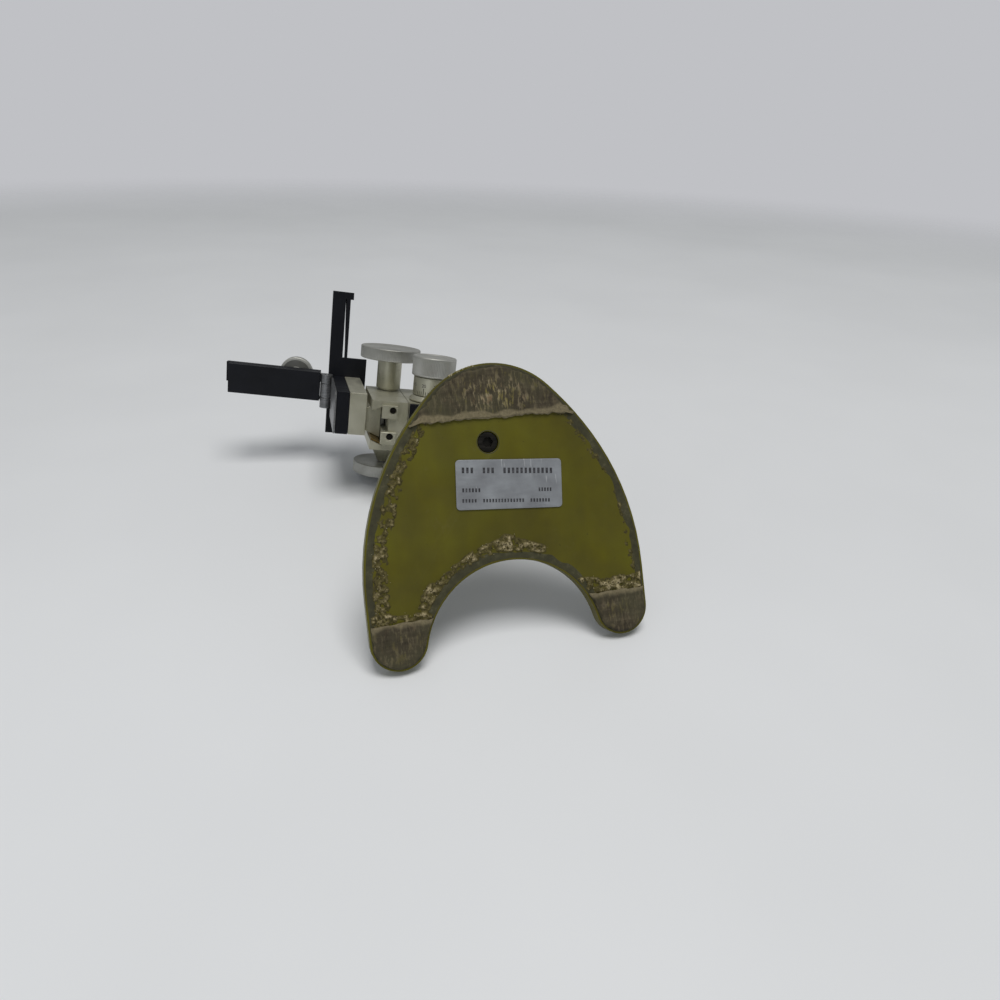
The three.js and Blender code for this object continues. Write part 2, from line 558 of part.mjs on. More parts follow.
function makeCoarseBody() {
  const group = new THREE.Group();
  const z1 = BODY_Z + BODY_LENGTH;
  const tenonX = FINE_X + NUT_HALF + GAP;
  const bushR = SHAFT_R + GAP + BUSH_WALL;
  const gearRoom = PITCH_R + TOOTH_TIP + 0.6;
  const gibScrewX = (GUIDE_X + COARSE_X1) / 2 + 1;
  const gibScrewZ = [0.15, 0.55].map((share) => BODY_Z + share * BODY_LENGTH);
  const gibBottom = GUIDE_Y - MOUTH_HALF - GIB_ROOM;
  const gibScrews = (r, y0, y1) => gibScrewZ.map((z) => rod('y', r, y0, y1, [gibScrewX, z], 16));
  const channel = dovetail(GAP, GUIDE_X - GAP, COARSE_X1 + 1, GIB_ROOM);
  place(group, 'coarse_body', cut(
    join(
      box(COARSE_X0, COARSE_X1, -BODY_HALF, BODY_HALF, BODY_Z, z1),
      box(tenonX, COARSE_X0 + 1, -TENON_HALF, TENON_HALF, POCKET_Z0 + GAP, POCKET_Z1 - GAP),
    ),
    prism('z', channel, BODY_Z - 1, z1 + 1),
    box(
      RACK_LINE - TOOTH_TIP - 0.8, GUIDE_X,
      GUIDE_Y - RACK_HALF - 0.5, GUIDE_Y + RACK_HALF + 0.5,
      BODY_Z - 1, z1 + 1,
    ),
    rod('y', gearRoom, GUIDE_Y - RACK_HALF - GAP, GUIDE_Y + RACK_HALF + GAP, PINION_AXIS, 32),
    rod('y', bushR + GAP, -BODY_HALF - 1, BODY_HALF + 1, PINION_AXIS, 32),
    ...gibScrews(SMALL_HEAD_R + GAP, -BODY_HALF - 1, gibBottom),
  ), satinMetal);

  place(group, 'feed_nut', cut(
    box(FINE_X - NUT_HALF, FINE_X + NUT_HALF, -3, 3, POCKET_Z0, FINE_Z + NUT_HALF),
    rod('y', SPINDLE_R + GAP, -4, 4, FINE_AXIS, 24),
  ), brass);
  const bush = (y0, y1) => tube('y', bushR, SHAFT_R + GAP, y0, y1, PINION_AXIS, 32);
  place(group, 'upper_bush', bush(GUIDE_Y + RACK_HALF + GAP, BODY_HALF), brass);
  place(group, 'lower_bush', bush(-BODY_HALF, GUIDE_Y - RACK_HALF - GAP), brass);

  // a gib fills the room left along the dovetail's lower flank, and two screws press it
  const flankY = (x) => GUIDE_Y - MOUTH_HALF - FLANK * (COARSE_X1 - x) - GAP;
  const [gx0, gx1] = [GUIDE_X + 0.5, COARSE_X1 - 0.4];
  place(group, 'gib_strip', prism('z', [
    [gx0, flankY(gx0) - 1], [gx1, flankY(gx1) - 1], [gx1, flankY(gx1)], [gx0, flankY(gx0)],
  ], BODY_Z + GAP, z1 - GAP), brass);
  const gibScrewTip = flankY(gibScrewX) - 1.7;
  placeEach(group, 'gib_screw', gibScrews(SMALL_HEAD_R, -BODY_HALF - 0.4, gibScrewTip), darkSteel);

  // two small plates screwed over the lower end of the guide stop the slide
  const stopZ = BODY_Z - GAP;
  const [x0, x1] = [GUIDE_X - 7.4, GUIDE_X + 0.9];
  const stops = {
    upper_stop_plate: [GUIDE_Y + RACK_HALF + 0.9, GUIDE_Y + RACK_HALF + 7.9, 2.6],
    lower_stop_plate: [GUIDE_Y - RACK_HALF - 7.4, GUIDE_Y - RACK_HALF - 0.6, 3.4],
  };
  const heads = [];
  for (const [name, [y0, y1, inset]] of Object.entries(stops)) {
    const at = [x0 + inset, (y0 + y1) / 2 + 1];
    place(group, name, cut(
      box(x0, x1, y0, y1, stopZ - STOP_PLATE_THICK, stopZ),
      rod('z', SMALL_HEAD_R + GAP, stopZ - STOP_PLATE_THICK - 1, stopZ - 0.6, at, 20),
    ), satinMetal);
    heads.push(rod('z', SMALL_HEAD_R, stopZ - 1.5, stopZ - 0.9, at, 20));
  }
  placeEach(group, 'stop_plate_screw', heads, darkSteel);
  makePinionShaft(group);
  return group;
}

// ---- coarse slide, hinge and upright ----
const SLIDE_X0 = COARSE_X1 + SLIDE_CLEAR;
const SLIDE_X1 = SLIDE_X0 + SLIDE_THICK;
const SLIDE_TOP = SLIDE_BOTTOM + SLIDE_HEIGHT;
const SLIDE_Z1 = SLIDE_Z + SLIDE_LENGTH;
const BACKING_X0 = SLIDE_X1 + GAP;
const BACKING_X1 = BACKING_X0 + BACKING_THICK;
const LEAF_X0 = BACKING_X1 + GAP;
const LEAF_X1 = LEAF_X0 + LEAF_THICK;
const HINGE_X = LEAF_X0 + HINGE_R;
const HINGE_Z = SLIDE_Z1 - HINGE_R - 0.2;
const HINGE_AXIS = [HINGE_X, HINGE_Z];
const BARREL = { bottom: -3.8, lower: 2.2, upper: 11, top: 16.3 };
const END_Z = SLIDE_Z1 + GAP;    // plates on the slide's far end start here
const END_Z1 = END_Z + UPRIGHT_THICK;
const UPRIGHT_X1 = HINGE_X - 1;
const TONGUE_Z = SLIDE_Z + TONGUE_SETBACK;

function knuckle(y0, y1) {
  return tube('y', HINGE_R, HINGE_PIN_R + GAP, y0, y1, HINGE_AXIS, 32);
}

function makeSlide() {
  const group = new THREE.Group();
  const endScrew = (x, y, r, z0, z1) => rod('z', r, z0, z1, [x, y], 20);
  const armScrews = [SLIDE_BOTTOM + 5, SLIDE_TOP - 5].map((y) => [(SLIDE_X0 + SLIDE_X1) / 2, y]);
  const stemX = BACKING_X0 + BACKING_THICK / 2;
  const stemScrews = [SLIDE_BOTTOM + 4, SLIDE_TOP - 4].map((y) => [stemX, y]);
  const tongue = dovetail(-0.1, GUIDE_X, SLIDE_X0 + 1);
  const tapped = (list) => list.map(([x, y]) => endScrew(x, y, TAP_R, SLIDE_Z1 - 6, SLIDE_Z1 + 1));
  place(group, 'slide_block', cut(
    join(
      box(SLIDE_X0, SLIDE_X1, SLIDE_BOTTOM, SLIDE_TOP, SLIDE_Z, SLIDE_Z1),
      prism('z', tongue, TONGUE_Z, SLIDE_Z1),
    ),
    ...tapped(armScrews),
  ), satinMetal);

  // the rack lies along the dovetail's inner face, a tooth space opposite the pinion's tooth
  const rackX1 = GUIDE_X - GAP;
  const [z0, z1] = [TONGUE_Z + 1, SLIDE_Z1 - 1];
  const outline = [[z0, rackX1], [z0, RACK_LINE + TOOTH_ROOT]];
  const first = Math.ceil((z0 + 1 - PINION_Z) / PITCH - 0.5);
  for (let k = first; PINION_Z + (k + 0.5) * PITCH < z1 - 1; k++) {
    const z = PINION_Z + (k + 0.5) * PITCH;
    outline.push(
      [z - 0.62 * MODULE, RACK_LINE + TOOTH_ROOT], [z - 0.22 * MODULE, RACK_LINE - TOOTH_TIP],
      [z + 0.22 * MODULE, RACK_LINE - TOOTH_TIP], [z + 0.62 * MODULE, RACK_LINE + TOOTH_ROOT],
    );
  }
  outline.push([z1, RACK_LINE + TOOTH_ROOT], [z1, rackX1]);
  place(group, 'rack', prism('y', outline, GUIDE_Y - RACK_HALF, GUIDE_Y + RACK_HALF), greySteel);

  const middleY = (SLIDE_BOTTOM + SLIDE_TOP) / 2;
  const leafScrews = [0.15, 0.8].map((share) => [middleY, SLIDE_Z + share * SLIDE_LENGTH]);
  const inLeaf = (r, x0, x1) => leafScrews.map((at) => rod('x', r, x0, x1, at, 20));
  place(group, 'backing_plate', cut(
    box(BACKING_X0, BACKING_X1, SLIDE_BOTTOM, SLIDE_TOP, SLIDE_Z, SLIDE_Z1),
    ...inLeaf(LEAF_SCREW_R + 0.5, BACKING_X1 - 1.2, BACKING_X1 + 1),
    ...tapped(stemScrews),
  ), blackAnodise);
  const leafEnd = HINGE_Z - HINGE_R - GAP;
  const [barrel0, barrel1] = [BARREL.lower + GAP, BARREL.upper - GAP];
  place(group, 'fixed_leaf', cut(
    join(
      box(LEAF_X0, LEAF_X1, SLIDE_BOTTOM, SLIDE_TOP, SLIDE_Z, leafEnd),
      box(LEAF_X0, LEAF_X1, barrel0, barrel1, leafEnd - 1, HINGE_Z),
      knuckle(barrel0, barrel1),
    ),
    rod('y', HINGE_PIN_R + GAP, BARREL.lower, BARREL.upper, HINGE_AXIS, 32),
    ...inLeaf(LEAF_SCREW_R + GAP, LEAF_X0 - 1, LEAF_X1 + 1),
  ), greySteel);
  placeEach(group, 'leaf_screw', inLeaf(LEAF_SCREW_R, LEAF_X0 - 1.1, LEAF_X1 - 0.1), greySteel);
  const pin = rod('y', HINGE_PIN_R, BARREL.bottom - GAP, BARREL.top + GAP, HINGE_AXIS, 20);
  place(group, 'hinge_pin', pin, greySteel);

  // one slotted plate is screwed to the slide's far end: a stem, an arm over the slide block, a thin
  // strip beside the stem, and a bridge with a tab that closes the slot at the top
  const stemX0 = UPRIGHT_X1 - UPRIGHT_WIDTH;
  const stripX1 = stemX0 - STRIP_SLOT;
  const stripX0 = stripX1 - STRIP_WIDTH;
  const bridge = UPRIGHT_TOP - UPRIGHT_BRIDGE;
  const hole = END_SHANK_R + GAP;
  place(group, 'upright', cut(
    join(
      box(stemX0, UPRIGHT_X1, UPRIGHT_BOTTOM, UPRIGHT_TOP, END_Z, END_Z1),
      box(stemX0 - UPRIGHT_ARM_LENGTH, stemX0 + 1, SLIDE_BOTTOM, UPRIGHT_ARM_TOP, END_Z, END_Z1),
      box(stripX0, stripX1, UPRIGHT_ARM_TOP - 1, UPRIGHT_TOP, END_Z, END_Z1),
      box(stripX0 - UPRIGHT_TAB, stemX0 + 1, bridge, UPRIGHT_TOP, END_Z, END_Z1),
    ),
    ...[...armScrews, ...stemScrews].map(([x, y]) => endScrew(x, y, hole, END_Z - 1, END_Z1 + 1)),
  ), blackAnodise);
  const capScrew = ([x, y]) => join(
    endScrew(x, y, END_SHANK_R, END_Z - 0.1, END_Z1 + 1),
    endScrew(x, y, END_HEAD_R, END_Z1 + GAP, END_Z1 + GAP + END_HEAD_HEIGHT),
  );
  placeEach(group, 'arm_screw', armScrews.map(capScrew), greySteel);
  placeEach(group, 'stem_screw', stemScrews.map(capScrew), greySteel);
  return group;
}

// ---- hinged clamp bar ----
const BAR_X0 = HINGE_X + HINGE_R + BAR_GAP;
const BAR_X1 = BAR_X0 + BAR_LENGTH;
const BAR_Z1 = HINGE_Z + HINGE_R - GAP;
const BAR_Z = BAR_Z1 - BAR_THICK;
const BAR_TOP = BAR_BOTTOM + BAR_HEIGHT;
const RAIL_Z = BAR_Z1 + GAP;
const RAIL_TOP = BAR_TOP + 0.2;
const CLAMP_AXIS = [HINGE_X + CLAMP_KNOB_X, BAR_TOP - 3.9];

// Drawn square to the slide, then folded about the hinge pin.
function makeBar() {
  const group = new THREE.Group();
  const leafZ0 = BAR_Z1 - LEAF_THICK;
  const leafX1 = BAR_X0 + BAR_LEAF_LENGTH;
  const leafY0 = BAR_BOTTOM + GAP;
  place(group, 'bar_leaf', cut(
    join(
      knuckle(BARREL.bottom, BARREL.lower),
      knuckle(BARREL.upper, BARREL.top),
      box(HINGE_X, leafX1, leafY0, BARREL.lower, leafZ0, BAR_Z1),
      box(HINGE_X, leafX1, BARREL.upper, BARREL.top, leafZ0, BAR_Z1),
      box(BAR_X0, leafX1, leafY0, BARREL.top, leafZ0, BAR_Z1),
    ),
    rod('y', HINGE_PIN_R + GAP, BARREL.bottom - 1, BARREL.top + 1, HINGE_AXIS, 32),
  ), greySteel);

  const clampHole = rod('z', CLAMP_SCREW_R + GAP, BAR_Z + 1.5, RAIL_Z + 20, CLAMP_AXIS, 20);
  place(group, 'bar_plate', cut(
    box(BAR_X0, BAR_X1, BAR_BOTTOM, BAR_TOP, BAR_Z, BAR_Z1),
    box(BAR_X0 - 1, leafX1 + GAP, BAR_BOTTOM - 1, BARREL.top + GAP, leafZ0 - GAP, BAR_Z1 + 1),
    clampHole,
  ), blackAnodise);
  place(group, 'bar_rail', cut(
    box(
      BAR_X0 + GAP, BAR_X1 + RAIL_OVERHANG,
      RAIL_TOP - RAIL_HEIGHT, RAIL_TOP,
      RAIL_Z, RAIL_Z + RAIL_THICK,
    ),
    clampHole,
  ), blackAnodise);

  const hub = RAIL_Z + RAIL_THICK + GAP;
  const knob = hub + CLAMP_HUB_HEIGHT;
  const knobEnd = knob + CLAMP_KNOB_THICK;
  const screwEnd = knobEnd - KNOB_WALL;
  const rim = CLAMP_KNOB_R - DISC_EDGE;
  const screw = rod('z', CLAMP_SCREW_R, BAR_Z + 1.8, screwEnd, CLAMP_AXIS, 20);
  place(group, 'bar_clamp_screw', screw, greySteel);
  place(group, 'bar_clamp_knob', cut(
    turned('z', [
      [0, hub], [CLAMP_HUB_R, hub], [CLAMP_HUB_R, knob], [rim, knob], [CLAMP_KNOB_R, knob + DISC_EDGE],
      [CLAMP_KNOB_R, knobEnd - DISC_EDGE], [rim, knobEnd], [0, knobEnd],
    ], CLAMP_AXIS, 44),
    rod('z', CLAMP_SCREW_R + GAP, hub - 1, screwEnd + GAP, CLAMP_AXIS, 20),
  ), satinMetal);

  const pin = new THREE.Vector3(HINGE_X, 0, HINGE_Z);
  const folded = pin.clone().applyAxisAngle(ALONG_Y, BAR_REST * DEG);
  group.rotation.y = BAR_REST * DEG;
  group.position.copy(pin.sub(folded));
  return group;
}

// ---- assembly ----
const stand = new THREE.Group();
stand.add(makeBase());

const swivel = new THREE.Group();
swivel.position.set(SCREW_OFFSET, -PAD_POINT, 0);
swivel.rotation.z = SWIVEL * DEG;
swivel.add(makeColumn());

const head = new THREE.Group();
head.position.set(0, 0, PIVOT_HEIGHT);
head.rotation.x = -LEAN * DEG;
head.add(makeArm(), makeCoarseBody(), makeSlide(), makeBar());
swivel.add(head);
stand.add(swivel);

export default stand;
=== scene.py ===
"""The bench stand's finished surfaces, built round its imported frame.

The stand lies tipped over on a pale table, on the tips of its two feet and the rim of its lower
coarse knob, and shows the underside of its horseshoe base. Lengths in this script are in
millimetres until a mesh is made, and Blender's are in metres.
"""
import json
import math

import bmesh
import bpy
import numpy as np
from mathutils import Matrix, Vector


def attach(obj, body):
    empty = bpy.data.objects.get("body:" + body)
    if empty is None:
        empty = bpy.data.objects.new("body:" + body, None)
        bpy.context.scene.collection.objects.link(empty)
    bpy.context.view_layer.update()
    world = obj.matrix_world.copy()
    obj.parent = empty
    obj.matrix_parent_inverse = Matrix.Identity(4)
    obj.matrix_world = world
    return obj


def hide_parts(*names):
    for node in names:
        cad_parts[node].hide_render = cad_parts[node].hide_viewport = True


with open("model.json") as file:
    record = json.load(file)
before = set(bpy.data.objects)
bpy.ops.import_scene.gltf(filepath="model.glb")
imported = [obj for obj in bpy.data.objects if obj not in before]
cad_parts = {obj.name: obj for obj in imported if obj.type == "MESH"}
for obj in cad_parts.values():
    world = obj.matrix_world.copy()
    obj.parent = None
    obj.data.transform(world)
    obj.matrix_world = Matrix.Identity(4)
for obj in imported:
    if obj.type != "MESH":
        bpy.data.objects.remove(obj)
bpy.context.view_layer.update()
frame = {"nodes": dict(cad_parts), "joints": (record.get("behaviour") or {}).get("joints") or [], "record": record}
NODES = frame["nodes"]
JOINTS = {joint["name"]: joint for joint in frame["joints"]}
METRE = 1000.0

# The head's own axes: across towards the clamp bar, along the knob shafts, along the column.
PIVOT = np.array(JOINTS["head_tilt"]["pos_m"]) * METRE
HEAD = np.array([JOINTS[name]["axis"] for name in ("head_tilt", "fine_knob_turn", "coarse_feed")])
ACROSS, SHAFTS, COLUMN = 0, 1, 2


# ---- points and places ----
def node_points(node):
    """A CAD node's corners in millimetres, in the row's axes."""
    mesh = NODES[node].data
    corners = np.empty(len(mesh.vertices) * 3, np.float32)
    mesh.vertices.foreach_get("co", corners)
    return corners.reshape(-1, 3).astype(float) * METRE


def head_points(node):
    """A CAD node's corners in millimetres, in the head's axes, measured from the tilt pivot."""
    return (node_points(node) - PIVOT) @ HEAD.T


def span(node, axis):
    """The lowest and highest place of a node along one of the head's axes."""
    along = head_points(node)[:, axis]
    return along.min(), along.max()


def middle(node):
    """The middle of a node's box in the head's axes."""
    corners = head_points(node)
    return (corners.min(0) + corners.max(0)) / 2


def about_middle(node, axis):
    """A node's middle, and its lowest and highest place along an axis from there."""
    at = middle(node)
    low, high = span(node, axis)
    return at, low - at[axis], high - at[axis]


def smooth(value):
    """The curve 3t^2 - 2t^3 of a value held between 0 and 1."""
    t = np.clip(value, 0.0, 1.0)
    return t * t * (3 - 2 * t)


def level(places):
    """Places on the underside with a third coordinate of 0, which is what the noise takes."""
    return np.column_stack([places, np.zeros(len(places))])


def patches(points, cell, seed, layers=3):
    """Smooth random values from 0 to 1 at points. The corners of a lattice of the given cell hold
    seeded random numbers, a point takes the smoothstep blend of the corners round it, and each
    further layer has half the cell and half the share."""
    total = np.zeros(len(points))
    weight = 0.0
    for layer in range(layers):
        table = np.random.default_rng(seed + layer).random((31, 29, 23))
        place = points / (cell / 2 ** layer) + 50.0
        base = np.floor(place).astype(int)
        share = smooth(place - base)
        value = np.zeros(len(points))
        for corner in np.ndindex(2, 2, 2):
            index = (base + corner) % table.shape
            blend = np.prod(np.where(corner, share, 1 - share), axis=1)
            value += blend * table[index[:, 0], index[:, 1], index[:, 2]]
        total += value / 2 ** layer
        weight += 1 / 2 ** layer
    return total / weight


# ---- meshes ----
def make_piece(name, points, faces, material, body, replaces=(), uv=None, marks=None):
    """Puts computed points (millimetres) and faces into a mesh that rides on a body."""
    mesh = bpy.data.meshes.new(name)
    mesh.from_pydata(points / METRE, [], faces.tolist() if isinstance(faces, np.ndarray) else faces)
    if uv is not None:
        layer = mesh.uv_layers.new(name="surface")
        corner_vertex = np.empty(len(mesh.loops), np.int32)
        mesh.loops.foreach_get("vertex_index", corner_vertex)
        layer.data.foreach_set("uv", uv[corner_vertex].astype(np.float32).ravel())
    for mark, values in (marks or {}).items():
        mesh.attributes.new(mark, "FLOAT", "POINT").data.foreach_set("value", values.astype(np.float32))
    mesh.validate()
    return finish_piece(name, mesh, material, body, replaces)


def finish_piece(name, mesh, material, body, replaces):
    """Shades a mesh smooth between sharp edges and hangs it on its body."""
    mesh.polygons.foreach_set("use_smooth", np.ones(len(mesh.polygons), bool))
    mesh.set_sharp_from_angle(angle=math.radians(38))
    mesh.materials.clear()
    mesh.materials.append(material)
    piece = bpy.data.objects.new(name, mesh)
    bpy.context.scene.collection.objects.link(piece)
    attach(piece, body)
    if replaces:
        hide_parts(*replaces)
    return piece


def grid_faces(rows, columns, wrap_rows=False):
    """Quads of a grid of points whose columns run round and close on themselves."""
    last = rows if wrap_rows else rows - 1
    r, c = np.meshgrid(np.arange(last), np.arange(columns), indexing="ij")
    r1, c1 = (r + 1) % rows, (c + 1) % columns
    near, far = r * columns, r1 * columns
    return np.stack([near + c, near + c1, far + c1, far + c], -1).reshape(-1, 4)


def fan(centre, ring, flipped):
    """Triangles from a middle point to a ring of points, turned to face the right way."""
    nxt = np.roll(ring, -1)
    pole = np.full(len(ring), centre)
    return np.stack([pole, nxt, ring] if flipped else [pole, ring, nxt], -1)


def rounded(corners, radius, steps=4):
    """A profile whose corners are rounded: each inner corner B between A and C gives the points
    (1-t)^2 P + 2t(1-t) B + t^2 Q, with P and Q on its two sides, a radius away from B or less."""
    corners = np.array(corners, float)
    out = [corners[0]]
    for before, corner, after in zip(corners[:-2], corners[1:-1], corners[2:]):
        back, ahead = before - corner, after - corner
        lengths = [max(np.linalg.norm(side[:2]), 1e-9) for side in (back, ahead)]
        start = corner + back * min(radius / lengths[0], 0.48)
        end = corner + ahead * min(radius / lengths[1], 0.48)
        t = np.linspace(0, 1, steps + 1)[:, None]
        out.extend((1 - t) ** 2 * start + 2 * t * (1 - t) * corner + t ** 2 * end)
    out.append(corners[-1])
    return np.array(out)


def axis_basis(axis):
    """Two directions across one of the head's axes and the axis itself, right-handed."""
    return HEAD[(axis + 1) % 3], HEAD[(axis + 2) % 3], HEAD[axis]


def turned(name, axis, centre, profile, material, body, replaces=(), slot=None, columns=96, teeth=0,
           depth=0.0, basis=None, origin=None):
    """A turned piece. Its profile lists (radius, place along the axis, share of knurl). A point is
    at angle a and radius r - share * depth * v(a), where v falls and rises evenly from 0 to 1 and
    back once for each tooth. A profile that starts and ends on the axis closes in two poles, and
    any other closes on itself."""
    profile = np.array([list(row) + [0.0] * (3 - len(row)) for row in profile], float)
    poles = profile[0, 0] < 1e-6
    rows = profile[1:-1] if poles else profile
    columns = teeth * 4 if teeth else columns
    angle = np.arange(columns) * 2 * math.pi / columns
    valley = np.abs((angle * teeth / (2 * math.pi)) % 1 - 0.5) * 2 if teeth else np.zeros(columns)
    radius = rows[:, :1] - rows[:, 2:3] * depth * valley[None]
    u, v, w = axis_basis(axis) if basis is None else basis
    if origin is None:
        origin = PIVOT + np.asarray(centre) @ HEAD
    ring = np.cos(angle)[:, None] * u + np.sin(angle)[:, None] * v
    points = origin + radius[:, :, None] * ring[None] + rows[:, 1, None, None] * w
    points = points.reshape(-1, 3)
    faces = [tuple(face) for face in grid_faces(len(rows), columns, wrap_rows=not poles)]
    uv = np.stack([np.tile(angle / (2 * math.pi), len(rows)), np.repeat(rows[:, 1], columns)], -1)
    if poles:
        first, last = len(points), len(points) + 1
        points = np.vstack([points, origin + profile[0, 1] * w, origin + profile[-1, 1] * w])
        uv = np.vstack([uv, [[0.5, profile[0, 1]], [0.5, profile[-1, 1]]]])
        bottom = np.arange(columns)
        faces += [tuple(face) for face in fan(first, bottom, True)]
        faces += [tuple(face) for face in fan(last, bottom + (len(rows) - 1) * columns, False)]
    return make_piece(name, points, faces, material, body, replaces, uv)


def softened(node, width, material, body):
    """A copy of a CAD solid with its corners merged, its flats made single faces and its edges
    rounded by a bevel of the given width."""
    mesh = NODES[node].data.copy()
    work = bmesh.new()
    work.from_mesh(mesh)
    bmesh.ops.remove_doubles(work, verts=work.verts, dist=2e-6)
    bmesh.ops.dissolve_limit(work, angle_limit=math.radians(0.5), verts=work.verts, edges=work.edges)
    bmesh.ops.recalc_face_normals(work, faces=work.faces)
    work.to_mesh(mesh)
    work.free()
    piece = finish_piece(node + "_finished", mesh, material, body, (node,))
    bevel = piece.modifiers.new("edges", "BEVEL")
    bevel.width = width / METRE
    bevel.segments = 3
    bevel.limit_method = "ANGLE"
    bevel.angle_limit = math.radians(32)
    bevel.harden_normals = True
    return piece


# ---- finishes ----
def tone(red, green, blue):
    """A colour given from 0 to 255 as a screen shows it, in linear light."""
    share = np.array([red, green, blue]) / 255
    linear = np.where(share <= 0.04045, share / 12.92, ((share + 0.055) / 1.055) ** 2.4)
    return (*[float(value) for value in linear], 1.0)


class Finish:
    """A material under construction, with its shader and short ways to add nodes."""

    def __init__(self, name, metallic=0.0, roughness=0.5, specular=0.5):
        self.material = bpy.data.materials.new(name)
        self.material.use_nodes = True
        self.tree = self.material.node_tree
        self.shader = self.tree.nodes["Principled BSDF"]
        self.shader.inputs["Metallic"].default_value = metallic
        self.shader.inputs["Roughness"].default_value = roughness
        self.shader.inputs["Specular IOR Level"].default_value = specular
        self.place = self.tree.nodes.new("ShaderNodeTexCoord").outputs["Object"]

    def link(self, output, target):
        self.tree.links.new(output, target)

    def feed(self, socket, value):
        """Links a socket to an output, or sets it to a constant."""
        if isinstance(value, bpy.types.NodeSocket):
            self.link(value, socket)
        else:
            socket.default_value = value

    def stretched(self, scale, turn=(0, 0, 0)):
        """Object coordinates turned, then multiplied along each axis."""
        node = self.tree.nodes.new("ShaderNodeMapping")
        node.vector_type = "POINT"
        node.inputs["Scale"].default_value = scale
        node.inputs["Rotation"].default_value = turn
        self.link(self.place, node.inputs["Vector"])
        return node.outputs["Vector"]

    def noise(self, scale, detail=4.0, roughness=0.55, place=None):
        node = self.tree.nodes.new("ShaderNodeTexNoise")
        node.inputs["Scale"].default_value = scale
        node.inputs["Detail"].default_value = detail
        node.inputs["Roughness"].default_value = roughness
        self.link(place or self.place, node.inputs["Vector"])
        return node.outputs["Fac"]

    def steps(self, fac, stops):
        """A colour ramp through (place, colour) stops."""
        node = self.tree.nodes.new("ShaderNodeValToRGB")
        while len(node.color_ramp.elements) < len(stops):
            node.color_ramp.elements.new(0.5)
        for element, (place, colour) in zip(node.color_ramp.elements, stops):
            element.position = place
            element.color = colour
        self.link(fac, node.inputs["Fac"])
        return node.outputs["Color"]

    def fade(self, fac, low, high, out_low=0.0, out_high=1.0):
        """Maps low..high to out_low..out_high, held at the ends."""
        node = self.tree.nodes.new("ShaderNodeMapRange")
        ends = {"From Min": low, "From Max": high, "To Min": out_low, "To Max": out_high}
        for name, value in ends.items():
            node.inputs[name].default_value = value
        self.link(fac, node.inputs["Value"])
        return node.outputs["Result"]

    def mix(self, fac, first, second):
        """Two colours mixed by a factor."""
        node = self.tree.nodes.new("ShaderNodeMix")
        node.data_type = "RGBA"
        for index, value in ((0, fac), (6, first), (7, second)):
            self.feed(node.inputs[index], value)
        return node.outputs[2]

    def math(self, operation, first, second):
        node = self.tree.nodes.new("ShaderNodeMath")
        node.operation = operation
        for socket, value in zip(node.inputs, (first, second)):
            self.feed(socket, value)
        return node.outputs[0]

    def mark(self, name):
        """A mesh attribute as a value."""
        node = self.tree.nodes.new("ShaderNodeAttribute")
        node.attribute_name = name
        return node.outputs["Fac"]

    def colour(self, output):
        self.link(output, self.shader.inputs["Base Color"])

    def roughness(self, output):
        self.link(output, self.shader.inputs["Roughness"])

    def bump(self, height, distance, strength=1.0):
        node = self.tree.nodes.new("ShaderNodeBump")
        node.inputs["Distance"].default_value = distance / METRE
        node.inputs["Strength"].default_value = strength
        self.link(height, node.inputs["Height"])
        self.link(node.outputs["Normal"], self.shader.inputs["Normal"])


def satin_metal(name, light, dark, roughness=0.42, metallic=0.7):
    """Satin plated metal: slow cloudy yellowing, fine grain, and faint grime in patches."""
    make = Finish(name, metallic=metallic, roughness=roughness)
    clouds = make.noise(45, 5)
    grain = make.noise(2600, 2)
    body = make.steps(clouds, [(0.3, dark), (0.62, light)])
    grime = make.fade(make.noise(160, 6, 0.7), 0.6, 0.76, 0.0, 0.4)
    make.colour(make.mix(grime, body, tone(96, 90, 66)))
    make.roughness(make.fade(make.noise(220, 5), 0.3, 0.7, roughness - 0.08, roughness + 0.1))
    make.bump(grain, 0.012, 0.5)
    return make.material


def brushed(name, light, dark, roughness, metallic=0.9):
    """Metal with fine lines along the row's x axis and slow changes of tone."""
    make = Finish(name, metallic=metallic, roughness=roughness)
    lines = make.noise(900, 3, 0.6, make.stretched((0.12, 1, 1)))
    both = make.math("ADD", make.math("MULTIPLY", lines, 0.6), make.math("MULTIPLY", make.noise(70), 0.4))
    make.colour(make.steps(both, [(0.35, dark), (0.65, light)]))
    make.roughness(make.fade(lines, 0.3, 0.7, roughness - 0.06, roughness + 0.12))
    make.bump(lines, 0.015, 0.4)
    return make.material


def black_anodise():
    """Near-black anodised metal with a cool cast, a dusty bloom and small scuffs."""
    make = Finish("black_anodise", roughness=0.5, specular=0.22)
    dust = make.fade(make.noise(260, 6, 0.72), 0.58, 0.8)
    base = make.steps(make.noise(60, 4), [(0.3, tone(9, 11, 16)), (0.7, tone(16, 18, 25))])
    make.colour(make.mix(make.math("MULTIPLY", dust, 0.12), base, tone(66, 68, 72)))
    make.roughness(make.fade(make.noise(140, 5), 0.3, 0.7, 0.42, 0.6))
    make.bump(make.noise(1900, 3), 0.01, 0.4)
    return make.material


